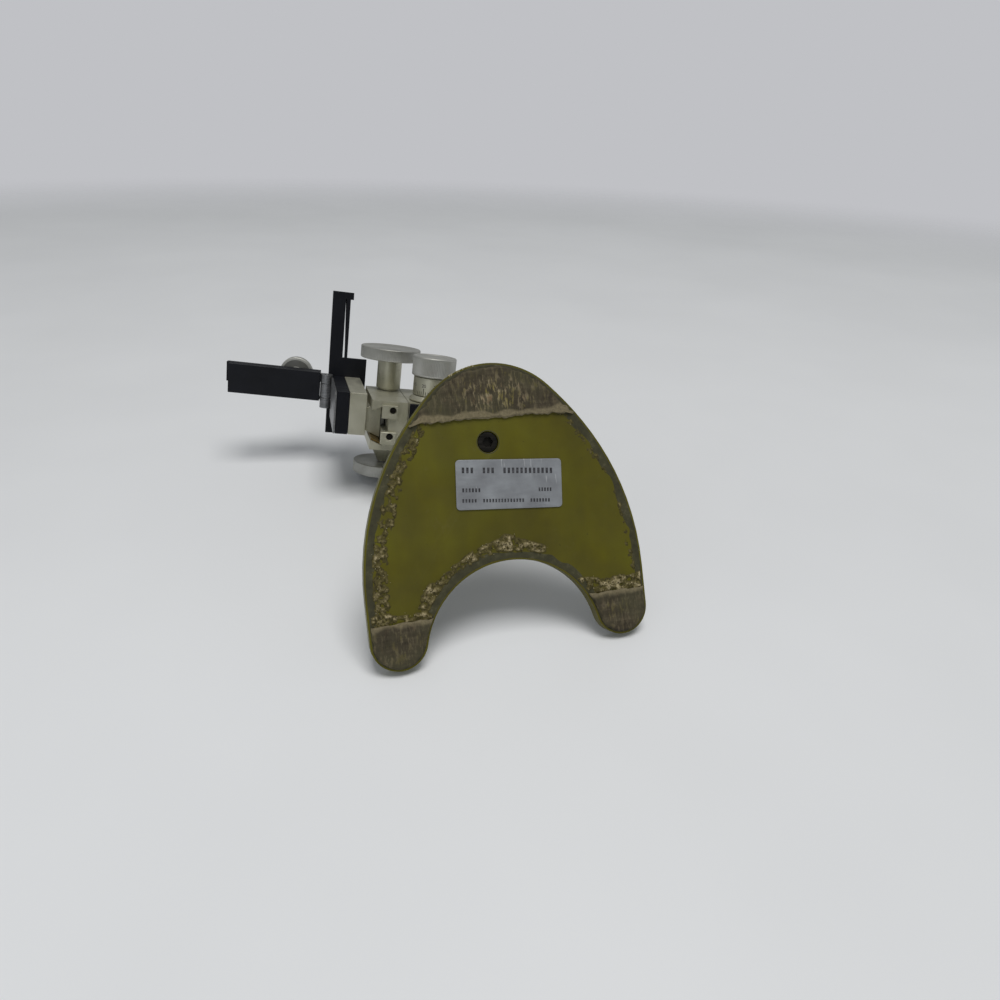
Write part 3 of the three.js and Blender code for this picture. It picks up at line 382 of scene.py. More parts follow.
def olive_enamel():
    """Olive paint: cloudy brown-green tones, faint wipe streaks along the base, dirt specks, and
    a slight orange-peel surface."""
    make = Finish("olive_enamel", roughness=0.4, specular=0.3)
    clouds = make.noise(22, 5, 0.6)
    streaks = make.noise(70, 4, 0.6, make.stretched((1, 0.16, 1)))
    base = make.steps(clouds, [(0.28, tone(72, 66, 18)), (0.5, tone(88, 83, 10)), (0.72, tone(99, 97, 8))])
    base = make.mix(make.fade(streaks, 0.35, 0.7, 0.0, 0.45), base, tone(70, 67, 18))
    specks = make.fade(make.noise(700, 2, 0.5), 0.7, 0.76)
    base = make.mix(make.math("MULTIPLY", specks, 0.5), base, tone(38, 34, 18))
    dust = make.fade(make.noise(120, 8, 0.75), 0.6, 0.78, 0.0, 0.16)
    make.colour(make.mix(dust, base, tone(126, 120, 88)))
    make.roughness(make.fade(make.noise(50, 6, 0.65), 0.3, 0.7, 0.34, 0.55))
    make.bump(make.noise(420, 3), 0.03, 0.35)
    return make.material


def worn_pad():
    """A worn pad: brown-grey with rubbed streaks along the base, darker layers across it, and pale
    olive and beige scuffs where the scuff attribute is high."""
    make = Finish("worn_pad", roughness=0.85, specular=0.3)
    along = make.noise(620, 5, 0.65, make.stretched((1, 0.14, 1)))
    across = make.noise(300, 5, 0.65, make.stretched((0.16, 1, 1)))
    both = make.math("ADD", make.math("MULTIPLY", along, 0.45), make.math("MULTIPLY", across, 0.55))
    base = make.steps(both, [(0.38, tone(48, 42, 31)), (0.5, tone(66, 59, 45)), (0.62, tone(88, 80, 62))])
    base = make.mix(make.fade(make.noise(60, 3), 0.4, 0.65, 0.0, 0.6), base, tone(70, 68, 48))
    streaks = make.fade(make.noise(760, 4, 0.7, make.stretched((1, 0.3, 1))), 0.5, 0.6)
    tint = make.steps(make.noise(170, 3), [
        (0.4, tone(122, 112, 58)), (0.55, tone(146, 134, 106)), (0.7, tone(108, 80, 54))])
    base = make.mix(make.math("MULTIPLY", make.mark("scuff"), streaks), base, tint)
    broken = make.fade(make.noise(900, 5, 0.75), 0.3, 0.6, 0.35, 1.0)
    ragged = make.math("MULTIPLY", make.mark("edge"), broken)
    make.colour(make.mix(ragged, base, tone(128, 118, 92)))
    make.bump(make.math("ADD", along, across), 0.16, 0.7)
    return make.material


def dried_glue():
    """Old glue and cork crumbs: olive where it is thin and beige where it is thick, with pits and
    bright grains."""
    make = Finish("dried_glue", roughness=0.75, specular=0.3)
    lay = make.math("ADD", make.mark("lay"), make.fade(make.noise(420, 6, 0.75), 0.3, 0.7, -0.35, 0.35))
    base = make.steps(lay, [
        (0.1, tone(70, 64, 26)), (0.42, tone(94, 86, 46)),
        (0.72, tone(128, 117, 82)), (0.95, tone(168, 155, 120))])
    dark = make.fade(make.noise(900, 4, 0.7), 0.5, 0.62)
    base = make.mix(make.math("MULTIPLY", dark, 0.7), base, tone(48, 41, 23))
    make.colour(base)
    make.bump(make.noise(1100, 5, 0.7), 0.3, 0.8)
    return make.material


def grimy_rim():
    """Grey-green grime and bare primer on the rim of the base."""
    make = Finish("grimy_rim", roughness=0.6, specular=0.3)
    base = make.steps(make.noise(240, 6, 0.7), [
        (0.3, tone(48, 46, 30)), (0.55, tone(64, 62, 40)), (0.75, tone(92, 88, 66))])
    make.colour(base)
    make.bump(make.noise(800, 5, 0.7), 0.1, 0.6)
    return make.material


def pale_grains():
    """Pale crumbs with a little shine."""
    make = Finish("pale_grains", metallic=0.0, roughness=0.35)
    make.colour(make.steps(make.noise(1500, 2), [
        (0.35, tone(122, 110, 72)), (0.5, tone(166, 156, 120)), (0.7, tone(206, 200, 176))]))
    make.bump(make.noise(2600, 3), 0.08, 0.5)
    return make.material


def label_foil():
    """Silver label foil: fine grain along its length, dulled patches and thin pale scratches."""
    make = Finish("label_foil", metallic=0.55, roughness=0.42)
    grain = make.noise(1400, 3, 0.6, make.stretched((0.1, 1, 1)))
    base = make.steps(make.noise(90, 5), [(0.3, tone(136, 138, 142)), (0.7, tone(164, 168, 172))])
    dull = make.fade(make.noise(240, 7, 0.75), 0.58, 0.72, 0.0, 0.5)
    base = make.mix(dull, base, tone(116, 116, 114))
    slanted = make.stretched((1, 0.12, 1), (0, 0, 0.6))
    scratches = make.fade(make.noise(760, 2, 0.5, slanted), 0.7, 0.74, 0.0, 0.6)
    make.colour(make.mix(scratches, base, tone(206, 208, 210)))
    make.roughness(make.fade(grain, 0.3, 0.7, 0.34, 0.5))
    make.bump(grain, 0.01, 0.4)
    return make.material


def printed_ink():
    """Dark print, rubbed thin in places."""
    make = Finish("printed_ink", metallic=0.0, roughness=0.6)
    make.colour(make.steps(make.noise(900, 4, 0.7), [(0.45, tone(34, 34, 38)), (0.75, tone(92, 92, 96))]))
    make.bump(make.noise(1800, 3), 0.01, 0.3)
    return make.material


def graduated(name, light, dark, divisions, low, short, long):
    """Satin metal with engraved lines filled dark. A line is drawn where the fraction of u times
    the number of divisions is near 0, up to the short height, and every fifth up to the long."""
    make = Finish(name, metallic=0.8, roughness=0.42)
    node = make.tree.nodes.new("ShaderNodeUVMap")
    node.uv_map = "surface"
    split = make.tree.nodes.new("ShaderNodeSeparateXYZ")
    make.link(node.outputs["UV"], split.inputs["Vector"])
    u, v = split.outputs["X"], split.outputs["Y"]

    def lines(count, width, top):
        turns = make.math("MULTIPLY", u, float(count))
        near = make.math("PINGPONG", turns, 0.5)
        thin = make.math("LESS_THAN", near, width * count)
        return make.math("MULTIPLY", thin, make.math("LESS_THAN", v, top))

    drawn = make.math("MAXIMUM", lines(divisions, 0.0022, short), lines(divisions // 5, 0.0026, long))
    drawn = make.math("MULTIPLY", drawn, make.math("GREATER_THAN", v, low))
    body = make.steps(make.noise(50, 5), [(0.3, dark), (0.65, light)])
    make.colour(make.mix(drawn, body, tone(48, 46, 44)))
    make.bump(make.math("SUBTRACT", make.noise(2600, 2), make.math("MULTIPLY", drawn, 4.0)), 0.02, 0.5)
    return make.material


CREAM_LIGHT, CREAM_DARK = tone(196, 194, 176), tone(164, 162, 140)
KNOB_LIGHT, KNOB_DARK = tone(176, 176, 170), tone(146, 146, 140)
SATIN = satin_metal("satin_cream_metal", CREAM_LIGHT, CREAM_DARK)
KNOB_METAL = satin_metal("knob_metal", KNOB_LIGHT, KNOB_DARK, 0.48, 0.6)
# A darker copy of the knob metal for the clamp knob's sunk inner face: painted shade, for the shade that the
# knob's rim casts into it.
SHADED_KNOB_FACE = satin_metal("painted_shade_knob_face", tone(104, 104, 100), tone(78, 78, 76), 0.5, 0.6)
GREY_STEEL = brushed("grey_steel", tone(150, 151, 152), tone(112, 113, 114), 0.4)
DARK_STEEL = brushed("dark_steel", tone(52, 50, 46), tone(26, 25, 23), 0.42)
BRASS = brushed("dull_brass", tone(150, 128, 78), tone(96, 80, 48), 0.42)
BLACK = black_anodise()
ENAMEL = olive_enamel()
PAD = worn_pad()
GLUE = dried_glue()
RIM = grimy_rim()
GRAINS = pale_grains()
FOIL = label_foil()
INK = printed_ink()


# ---- the base's outline and zones ----
BODY_OF = {node: body for body, nodes in frame["record"]["behaviour"]["bodies"].items() for node in nodes}
SLOT_OF = {row["node"]: row["material_slot"] for row in frame["record"]["subparts"]}
BASE_POINTS = node_points("base_plate")
UNDERSIDE = BASE_POINTS[:, 2].min()
SCREW_AT = np.array(JOINTS["column_swivel"]["pos_m"][:2]) * METRE
REAR_PAD_EDGE = node_points("rear_pad")[:, 1].min()
FOOT_PAD_EDGE = node_points("left_foot_pad")[:, 1].max()
ROW_BASIS = (np.array([1.0, 0, 0]), np.array([0, 1.0, 0]), np.array([0, 0, 1.0]))


def rim_loop(node, spacing):
    """The outer edge of a plate's lower face, as points at an even spacing, anticlockwise from above."""
    work = bmesh.new()
    work.from_mesh(NODES[node].data)
    bmesh.ops.remove_doubles(work, verts=work.verts, dist=2e-6)
    low = min(vert.co.z for vert in work.verts)
    onward = {}
    for edge in work.edges:
        flat = [face for face in edge.link_faces if face.normal.z < -0.99]
        if len(flat) == 1 and max(vert.co.z for vert in edge.verts) < low + 1e-5:
            loop = next(loop for loop in edge.link_loops if loop.face == flat[0])
            onward[loop.link_loop_next.vert.index] = loop.vert.index
    places = {vert.index: np.array(vert.co[:2]) * METRE for vert in work.verts}
    work.free()
    loops = []
    while onward:
        start = next(iter(onward))
        path, at = [], start
        while at in onward:
            path.append(at)
            at = onward.pop(at)
        loops.append(np.array([places[index] for index in path]))
    outline = max(loops, key=lambda loop: np.ptp(loop[:, 0]) * np.ptp(loop[:, 1]))
    closed = np.vstack([outline, outline[:1]])
    length = np.concatenate([[0], np.cumsum(np.linalg.norm(np.diff(closed, axis=0), axis=1))])
    even = np.linspace(0, length[-1], int(length[-1] / spacing), endpoint=False)
    return np.stack([np.interp(even, length, closed[:, k]) for k in (0, 1)], -1)


def inward(outline):
    """Unit directions from an anticlockwise outline towards its inside."""
    along = np.roll(outline, -2, 0) - np.roll(outline, 2, 0)
    along /= np.linalg.norm(along, axis=1)[:, None]
    return np.stack([-along[:, 1], along[:, 0]], -1)


OUTLINE = rim_loop("base_plate", 0.35)
INWARD = inward(OUTLINE)


def from_edge(points):
    """For each place on the base: how far it is inside the outline, and the nearest outline point."""
    depth, nearest = np.empty(len(points)), np.empty((len(points), 2))
    for start in range(0, len(points), 4000):
        part = points[start:start + 4000]
        apart = ((part[:, None] - OUTLINE[None]) ** 2).sum(-1)
        found = apart.argmin(1)
        nearest[start:start + 4000] = OUTLINE[found]
        sign = np.sign(((part - OUTLINE[found]) * INWARD[found]).sum(1))
        depth[start:start + 4000] = sign * np.sqrt(apart.min(1))
    return depth, nearest


def band(value, low, high, soft):
    """1 between low and high, falling to 0 over a soft width on both sides."""
    return smooth((value - low) / soft + 0.5) * smooth((high - value) / soft + 0.5)


def glue_height(places):
    """How far dried glue stands out from the underside, in millimetres, below 0 where there is none.
    Bands along the sides, the notch and the pads' edges are multiplied by patchy noise, and a
    threshold is taken off."""
    x, y = places.T
    depth, near = from_edge(places)
    flat = level(places)
    broad, fine = patches(flat, 6, 11), patches(flat, 1.5, 23)
    wander = (patches(flat, 14, 31, 2) - 0.5) * 6
    notch = (near[:, 1] > -106) & (near[:, 1] < -60) & (abs(near[:, 0]) < 41)
    side = ~notch & (y < REAR_PAD_EDGE + 4) & (y > FOOT_PAD_EDGE - 2)
    cover = 0.92 * side * (x > 0) * band(depth, 3.0, 9.0 + wander, 2.5)
    cover += 0.76 * side * (x < 0) * band(depth, 3.2, 6.0 + 0.6 * wander, 2.0)
    cover += 1.15 * notch * (x > -17) * band(depth, 3.4, 9.0 + wander, 2.0) * smooth((44 - x) / 6)
    cover += 1.1 * band(y, FOOT_PAD_EDGE - 1, FOOT_PAD_EDGE + 2.5 + wander, 1.6) * (x > 30) * (depth > 1.5)
    cover += 1.3 * band(y, FOOT_PAD_EDGE - 1, FOOT_PAD_EDGE + 7.0 + wander, 1.6) * (x < -30) * (depth > 1.5)
    label = node_points("label_plate")
    clear_of_label = (x < label[:, 0].min() - 1) | (x > label[:, 0].max() + 1)
    clear_of_label |= (y < label[:, 1].min() - 1) | (y > label[:, 1].max() + 0.5)
    screw = np.hypot(x - SCREW_AT[0], y - SCREW_AT[1]) > 6.3
    amount = np.minimum(cover, 1.3) * (0.35 + 0.75 * broad + 0.5 * (fine - 0.5))
    height = (amount - 0.55) * 1.3 + (fine - 0.52) * 0.9 * (amount > 0.45)
    return np.where(clear_of_label & screw & (depth > 1.2), np.clip(height, -0.12, 0.8), -0.12)


def make_glue():
    """Islands of glue: a height over a square grid, kept where it stands above the paint, with a flat
    back sunk in the plate and walls round every island."""
    cell = 0.4
    low, high = OUTLINE.min(0) + 1, OUTLINE.max(0) - 1
    xs, ys = (np.arange(low[k], high[k], cell) for k in (0, 1))
    gx, gy = np.meshgrid(xs, ys, indexing="ij")
    places = np.column_stack([gx.ravel(), gy.ravel()])
    height = glue_height(places).reshape(gx.shape)
    high_enough = height > 0.0
    keep = high_enough[:-1, :-1] | high_enough[1:, :-1] | high_enough[:-1, 1:] | high_enough[1:, 1:]
    count = gx.size
    index = np.arange(count).reshape(gx.shape)
    a, b, c, d = index[:-1, :-1], index[:-1, 1:], index[1:, 1:], index[1:, :-1]
    faces = [np.stack([a, b, c, d], -1)[keep], np.stack([d, c, b, a], -1)[keep] + count]
    padded = np.pad(keep, 1)
    for missing, first, second in (
        (~padded[:-2, 1:-1], a, b), (~padded[2:, 1:-1], c, d),
        (~padded[1:-1, :-2], d, a), (~padded[1:-1, 2:], b, c),
    ):
        wall = keep & missing
        faces.append(np.stack([second, first, first + count, second + count], -1)[wall])
    faces = np.vstack(faces)
    front = np.column_stack([places, UNDERSIDE - height.ravel()])
    back = np.column_stack([places, np.full(count, UNDERSIDE + 0.3)])
    points = np.vstack([front, back])
    lay = np.tile(np.clip(height.ravel() * 1.15, 0, 1), 2)
    used, faces = np.unique(faces, return_inverse=True)
    make_piece("glue_remains", points[used], faces.reshape(-1, 4), GLUE, "base",
               marks={"lay": lay[used]})
    return places, height.ravel()


def make_crumbs(name, centres, sizes, material, seed):
    """Many small lumps. Each is a ball of 3 rings of 6 points and two poles, with every point's
    radius drawn at random, so that it looks broken."""
    rng = np.random.default_rng(seed)
    rings, around = 3, 6
    polar = np.repeat(np.linspace(0, math.pi, rings + 2)[1:-1], around)
    turn = np.tile(np.arange(around) * 2 * math.pi / around, rings)
    ball = np.column_stack([np.sin(polar) * np.cos(turn), np.sin(polar) * np.sin(turn), np.cos(polar)])
    ball = np.vstack([ball, [0, 0, 1], [0, 0, -1]])
    quads = grid_faces(rings, around)[:, ::-1]
    top, bottom = rings * around, rings * around + 1
    caps = np.vstack([fan(top, np.arange(around), False),
                      fan(bottom, np.arange(around) + (rings - 1) * around, True)])
    count, size = len(centres), len(ball)
    rough = rng.uniform(0.65, 1.25, (count, size, 1)) * sizes[:, None, None]
    squash = rng.uniform(0.6, 1.2, (count, 1, 3))
    points = (centres[:, None] + ball[None] * rough * squash).reshape(-1, 3)
    shift = (np.arange(count) * size)[:, None, None]
    faces = (quads[None] + shift).reshape(-1, 4).tolist() + (caps[None] + shift).reshape(-1, 3).tolist()
    return make_piece(name, points, faces, material, "base")


def scatter_crumbs(places, height):
    """Crumbs on the thick glue, pale grains beside it, and a pale deposit on the rear end's edge."""
    rng = np.random.default_rng(5)
    thick = np.flatnonzero(height > 0.15)
    chosen = rng.choice(thick, min(900, len(thick)), replace=False)
    sizes = rng.uniform(0.12, 0.34, len(chosen))
    jitter = rng.uniform(-0.3, 0.3, (len(chosen), 2))
    on_glue = np.column_stack([places[chosen] + jitter, UNDERSIDE - np.minimum(height[chosen], 0.8)])
    make_crumbs("glue_crumbs", on_glue, sizes, GLUE, 6)

    bright = rng.choice(thick, min(130, len(thick)), replace=False)
    at = places[bright] + rng.normal(0, 1.2, (len(bright), 2))
    inside = from_edge(at)[0] > 1.5
    grains = np.column_stack([at, UNDERSIDE - np.minimum(height[bright] + 0.1, 0.9)])[inside]
    make_crumbs("pale_grains", grains, rng.uniform(0.1, 0.24, len(grains)), GRAINS, 7)

    edge = (OUTLINE[:, 0] > 6) & (OUTLINE[:, 0] < 23) & (OUTLINE[:, 1] > -16)
    clumps = patches(level(OUTLINE), 2.5, 97)
    picked = rng.choice(np.flatnonzero(edge & (clumps > 0.42)), 260)
    up = UNDERSIDE + rng.uniform(0.0, 2.6, len(picked))
    inset = rng.uniform(0.05, 0.5, (len(picked), 1))
    deposit = np.column_stack([OUTLINE[picked] + INWARD[picked] * inset, up])
    make_crumbs("edge_deposit", deposit, rng.uniform(0.12, 0.42, len(picked)), GRAINS, 8)


def make_rim():
    """A skin of grime round the underside: its section, a lens that fades into the paint at a
    wandering width, is carried along the whole outline."""
    flat = level(OUTLINE)
    width = 2.2 + 3.4 * patches(flat, 7, 41)
    share = np.linspace(0, 1, 9)
    rows = []
    for s in share:
        inset = 0.5 + s * width
        proud = 0.07 * (1 - smooth((s - 0.55) / 0.45)) + 0.03 * (patches(flat + s, 1.1, 43) - 0.5)
        proud = np.where(s in (0.0, 1.0), -0.08, proud)
        rows.append(np.column_stack([OUTLINE + INWARD * inset[:, None], UNDERSIDE - proud]))
    for s in share[::-1]:
        inset = 0.5 + s * width
        buried = np.full(len(OUTLINE), UNDERSIDE + 0.3)
        rows.append(np.column_stack([OUTLINE + INWARD * inset[:, None], buried]))
    points = np.concatenate(rows)
    faces = grid_faces(len(rows), len(OUTLINE), wrap_rows=True)
    make_piece("rim_grime", points, faces[:, ::-1], RIM, "base")


def worn_sheet(name, node, material, relief, rings=44, spacing=0.5, ragged=0.0, marks=None):
    """A thin sheet with a worn face. Each ring is the node's outline drawn in towards its middle,
    P = M + s (B - M), the outline is first pulled in by noise, and the lower face is raised by
    relief(places, distance from the edge). A flat back closes it."""
    outline = rim_loop(node, spacing)
    corners = node_points(node)
    low, high = corners[:, 2].min(), corners[:, 2].max()
    flat = level(outline)
    outline = outline + inward(outline) * (ragged * patches(flat, 2.4, 53))[:, None]
    centre = (outline.max(0) + outline.min(0)) / 2
    shares = 1 - np.linspace(0, 1, rings, endpoint=False) ** 1.25
    places = (centre + shares[:, None, None] * (outline - centre)[None]).reshape(-1, 2)
    depth = np.repeat(1 - shares, len(outline)) * np.tile(np.linalg.norm(outline - centre, axis=1), rings)
    lift = relief(places, depth)
    front = np.column_stack([places, np.minimum(low + lift, high - 0.05)])
    back = np.column_stack([outline, np.full(len(outline), high)])
    count, around = len(front), len(outline)
    points = np.vstack([back, front, [[*centre, float(front[-around:, 2].mean())], [*centre, high]]])
    faces = [tuple(face[::-1]) for face in grid_faces(rings + 1, around)]
    faces += [tuple(face) for face in fan(around + count, np.arange(around) + count, True)]
    faces += [tuple(face) for face in fan(around + count + 1, np.arange(around), False)]
    values = {mark: np.concatenate([np.zeros(around), rule(places, depth), [0, 0]])
              for mark, rule in (marks or {}).items()}
    return make_piece(name, points, faces, material, "base", (node,), marks=values)


def make_pads():
    """The three worn pads: thinned at the edge, rubbed hollow in strips along the base."""
    def relief(places, depth):
        flat = level(places)
        strips = patches(flat * [1, 0.16, 1], 1.3, 61)
        rubbed = patches(flat, 6, 67, 2)
        return 0.1 + 0.35 * strips * rubbed + 0.55 * (1 - smooth(depth / 0.9))

    def scuff(places, depth):
        flat = level(places)
        beside, behind = (places[:, 0] + 2) / 17, (places[:, 1] - REAR_PAD_EDGE - 11) / 7
        middle_of_pad = np.exp(-beside ** 2 - behind ** 2)
        return np.clip(middle_of_pad * 1.5 * patches(flat, 5, 71) + 0.1, 0, 1)

    def foot_scuff(places, depth):
        flat = level(places)
        return 0.35 * patches(flat, 6, 73)

    def rear_edge(places, depth):
        flat = level(places)
        reach = 2.6 + 3.6 * patches(flat, 6, 79)
        return 0.9 * smooth((REAR_PAD_EDGE + reach - places[:, 1]) / 1.2)

    def foot_edge(places, depth):
        flat = level(places)
        reach = 1.5 + 3.5 * patches(flat, 6, 83)
        return 0.8 * smooth((places[:, 1] - FOOT_PAD_EDGE + reach) / 2.2)

    rear_marks = {"scuff": scuff, "edge": rear_edge}
    worn_sheet("rear_pad_worn", "rear_pad", PAD, relief, ragged=2.2, marks=rear_marks)
    for side in ("left", "right"):
        worn_sheet(f"{side}_foot_pad_worn", f"{side}_foot_pad", PAD, relief, ragged=0.9,
                   marks={"scuff": foot_scuff, "edge": foot_edge})


def make_label():
    """The foil label, slightly wavy, with rows of plain dashes in place of print."""
    def waves(places, depth):
        flat = level(places)
        return 0.05 * patches(flat, 7, 91) + 0.04 * (1 - smooth(depth / 0.5))

    worn_sheet("label_card", "label_plate", FOIL, waves, rings=20, spacing=0.4)
    corners = node_points("label_plate")[:, :2]
    centre = (corners.max(0) + corners.min(0)) / 2
    turn = np.linalg.eigh(np.cov((corners - centre).T))[1][:, -1]
    turn = -turn if turn[0] > 0 else turn
    across = np.array([turn[1], -turn[0]])
    across = across if across[1] > 0 else -across
    low = node_points("label_plate")[:, 2].min()
    boxes = []
    for start, row_middle, height, pitch, words in (
        (-20.0, 5.6, 2.9, 3.0, (3, 3, 12)),
        (-20.0, -2.6, 2.0, 2.2, (6,)),
        (13.0, -2.4, 1.9, 2.0, (5,)),
        (-20.0, -6.9, 1.8, 2.1, (5, 14, 7)),
    ):
        at = start
        for letters in words:
            for _ in range(letters):
                boxes.append((at, row_middle, 0.34 * pitch, 0.8 * height))
                at += 0.62 * pitch
            at += 1.1 * pitch
    points, faces = [], []
    for u, v, wide, tall in boxes:
        for dz in (0.0, 0.12):
            for du, dv in ((-0.5, -0.5), (0.5, -0.5), (0.5, 0.5), (-0.5, 0.5)):
                place = centre + (u + du * wide) * turn + (v + dv * tall) * across
                points.append([*place, low - 0.03 + dz])
        k = len(points) - 8
        faces += [(k + 3, k + 2, k + 1, k), (k + 4, k + 5, k + 6, k + 7)]
        faces += [(k + i, k + (i + 1) % 4, k + 4 + (i + 1) % 4, k + 4 + i) for i in range(4)]
    handed = np.cross([*turn, 0], [*across, 0])[2]
    faces = [face[::-1] for face in faces] if handed < 0 else faces
    make_piece("label_strokes", np.array(points), faces, INK, "base")


def make_counterbore_ring():
    """A bright worn ring where the screw's counterbore breaks the paint."""
    radius = 4.65
    turned("counterbore_ring", COLUMN, None, rounded([
        [radius - 0.1, UNDERSIDE + 0.5], [radius, UNDERSIDE - 0.05], [radius + 0.3, UNDERSIDE - 0.04],
        [radius + 0.45, UNDERSIDE + 0.4], [radius - 0.1, UNDERSIDE + 0.5]], 0.1, 3)[:-1],
           RIM, "base", slot="dark_steel", basis=ROW_BASIS, origin=np.array([*SCREW_AT, 0.0]))


# ---- knobs, sleeves and shafts ----
def radius_of(node, axis):
    """A turned node's radius: half of its width across its axis."""
    low, high = span(node, (axis + 1) % 3)
    return (high - low) / 2


def turned_node(node, axis, profile, material, suffix, **more):
    """A turned piece in a CAD node's place, about the node's own middle."""
    turned(node + suffix, axis, middle(node), profile, material, BODY_OF[node], (node,), SLOT_OF[node],
           **more)


def make_coarse_knob(node):
    """A flat knurled disc with a dished face on both sides."""
    _, low, high = about_middle(node, SHAFTS)
    r = radius_of(node, SHAFTS)
    profile = [[0, low + 0.2], [r - 2.4, low + 0.2], [r - 2.1, low], [r - 0.35, low], [r, low + 0.35, 0.0],
               [r, low + 0.55, 1], [r, high - 0.55, 1], [r, high - 0.35, 0.0], [r - 0.35, high],
               [r - 2.1, high], [r - 2.4, high - 0.2], [0, high - 0.2]]
    turned_node(node, SHAFTS, profile, KNOB_METAL, "_knurled", teeth=110, depth=0.2)


def make_fine_knob():
    """The fine feed's cup-shaped knob: fine knurl between plain bands, and a sunk end."""
    node = "fine_knob"
    _, low, high = about_middle(node, SHAFTS)
    r = radius_of(node, SHAFTS)
    profile = [[0, low, 0], [r - 0.4, low, 0], [r, low + 0.4, 0], [r, low + 0.8, 0], [r, low + 1.0, 1],
               [r, high - 1.1, 1], [r, high - 0.9, 0], [r, high - 0.5, 0], [r - 0.5, high, 0],
               [r - 2.2, high, 0], [r - 2.6, high - 0.4, 0], [0, high - 0.4, 0]]
    turned_node(node, SHAFTS, rounded(profile, 0.14, 2), KNOB_METAL, "_knurled", teeth=84, depth=0.26)


def make_thimble():
    """The graduated thimble, with a number at every fifth line."""
    node = "fine_thimble"
    divisions = 50
    at, low, high = about_middle(node, SHAFTS)
    r = radius_of(node, SHAFTS)
    bore = radius_of("fine_spindle", SHAFTS) + 0.3
    finish = graduated("graduated_metal", CREAM_LIGHT, CREAM_DARK, divisions,
                       low + 0.3, low + 2.6, low + 4.4)
    profile = [[bore, low], [r - 0.3, low], [r, low + 0.3], [r, high - 0.4], [r - 0.5, high], [bore, high]]
    turned_node(node, SHAFTS, rounded(profile + [profile[0]], 0.1, 2)[:-1], finish, "_graduated",
                columns=160)
    u, v, w = axis_basis(SHAFTS)
    origin = PIVOT + at @ HEAD
    height = 1.9
    points, faces = [], []
    for number in range(0, divisions, 5):
        curve = bpy.data.curves.new("number", "FONT")
        curve.body = str(number)
        curve.size = height * 1.35
        curve.align_x = "CENTER"
        curve.extrude = 0.06
        curve.resolution_u = 3
        shape = bpy.data.objects.new("number", curve)
        mesh = bpy.data.meshes.new_from_object(shape)
        flat = np.array([vert.co[:] for vert in mesh.vertices])
        angle = number / divisions * 2 * math.pi + flat[:, 0] / r
        radius = r + flat[:, 2]
        start = sum(len(group) for group in points)
        points.append(origin + radius[:, None] * (np.cos(angle)[:, None] * u + np.sin(angle)[:, None] * v)
                      + (low + 4.9 + flat[:, 1])[:, None] * w)
        faces += [tuple(start + index for index in face.vertices) for face in mesh.polygons]
        bpy.data.objects.remove(shape)
        bpy.data.curves.remove(curve)
        bpy.data.meshes.remove(mesh)
    make_piece("thimble_numbers", np.vstack(points), faces, INK, BODY_OF[node])


def make_plain_turned():
    """Sleeves, collar, shafts and the hinge pin: straight or coned walls with softened edges."""
    bore = radius_of("pinion_shaft", SHAFTS) + 0.3
    for node in ("upper_sleeve", "lower_sleeve", "fine_collar"):
        _, low, high = about_middle(node, SHAFTS)
        r = radius_of(node, SHAFTS)
        if node == "upper_sleeve":
            outer = [[r - 0.9, low], [r - 0.9, low + 0.7], [r, low + 0.9], [r, high - 0.3], [r - 0.3, high]]
        elif node == "lower_sleeve":
            tip = 0.49 * r
            outer = [[tip, low], [tip, low + 0.6], [r, (low + high) / 2], [r, high - 0.3], [r - 0.3, high]]
        else:
            narrow = radius_of("fine_thimble", SHAFTS) + 0.4
            outer = [[r - 0.3, low], [r, low + 0.3], [r, low + 0.8],
                     [narrow, high - 0.4], [narrow - 0.3, high]]
        profile = [[bore, low], *outer, [bore, high]]
        turned_node(node, SHAFTS, rounded(profile + [profile[0]], 0.18, 3)[:-1], SATIN, "_turned",
                    columns=112)
    for node in ("pinion_shaft", "fine_spindle", "hinge_pin"):
        _, low, high = about_middle(node, SHAFTS)
        r = radius_of(node, SHAFTS)
        profile = [[0, low], [r, low], [r, high], [0, high]]
        turned_node(node, SHAFTS, rounded(profile, 0.3, 3), GREY_STEEL, "_turned", columns=64)


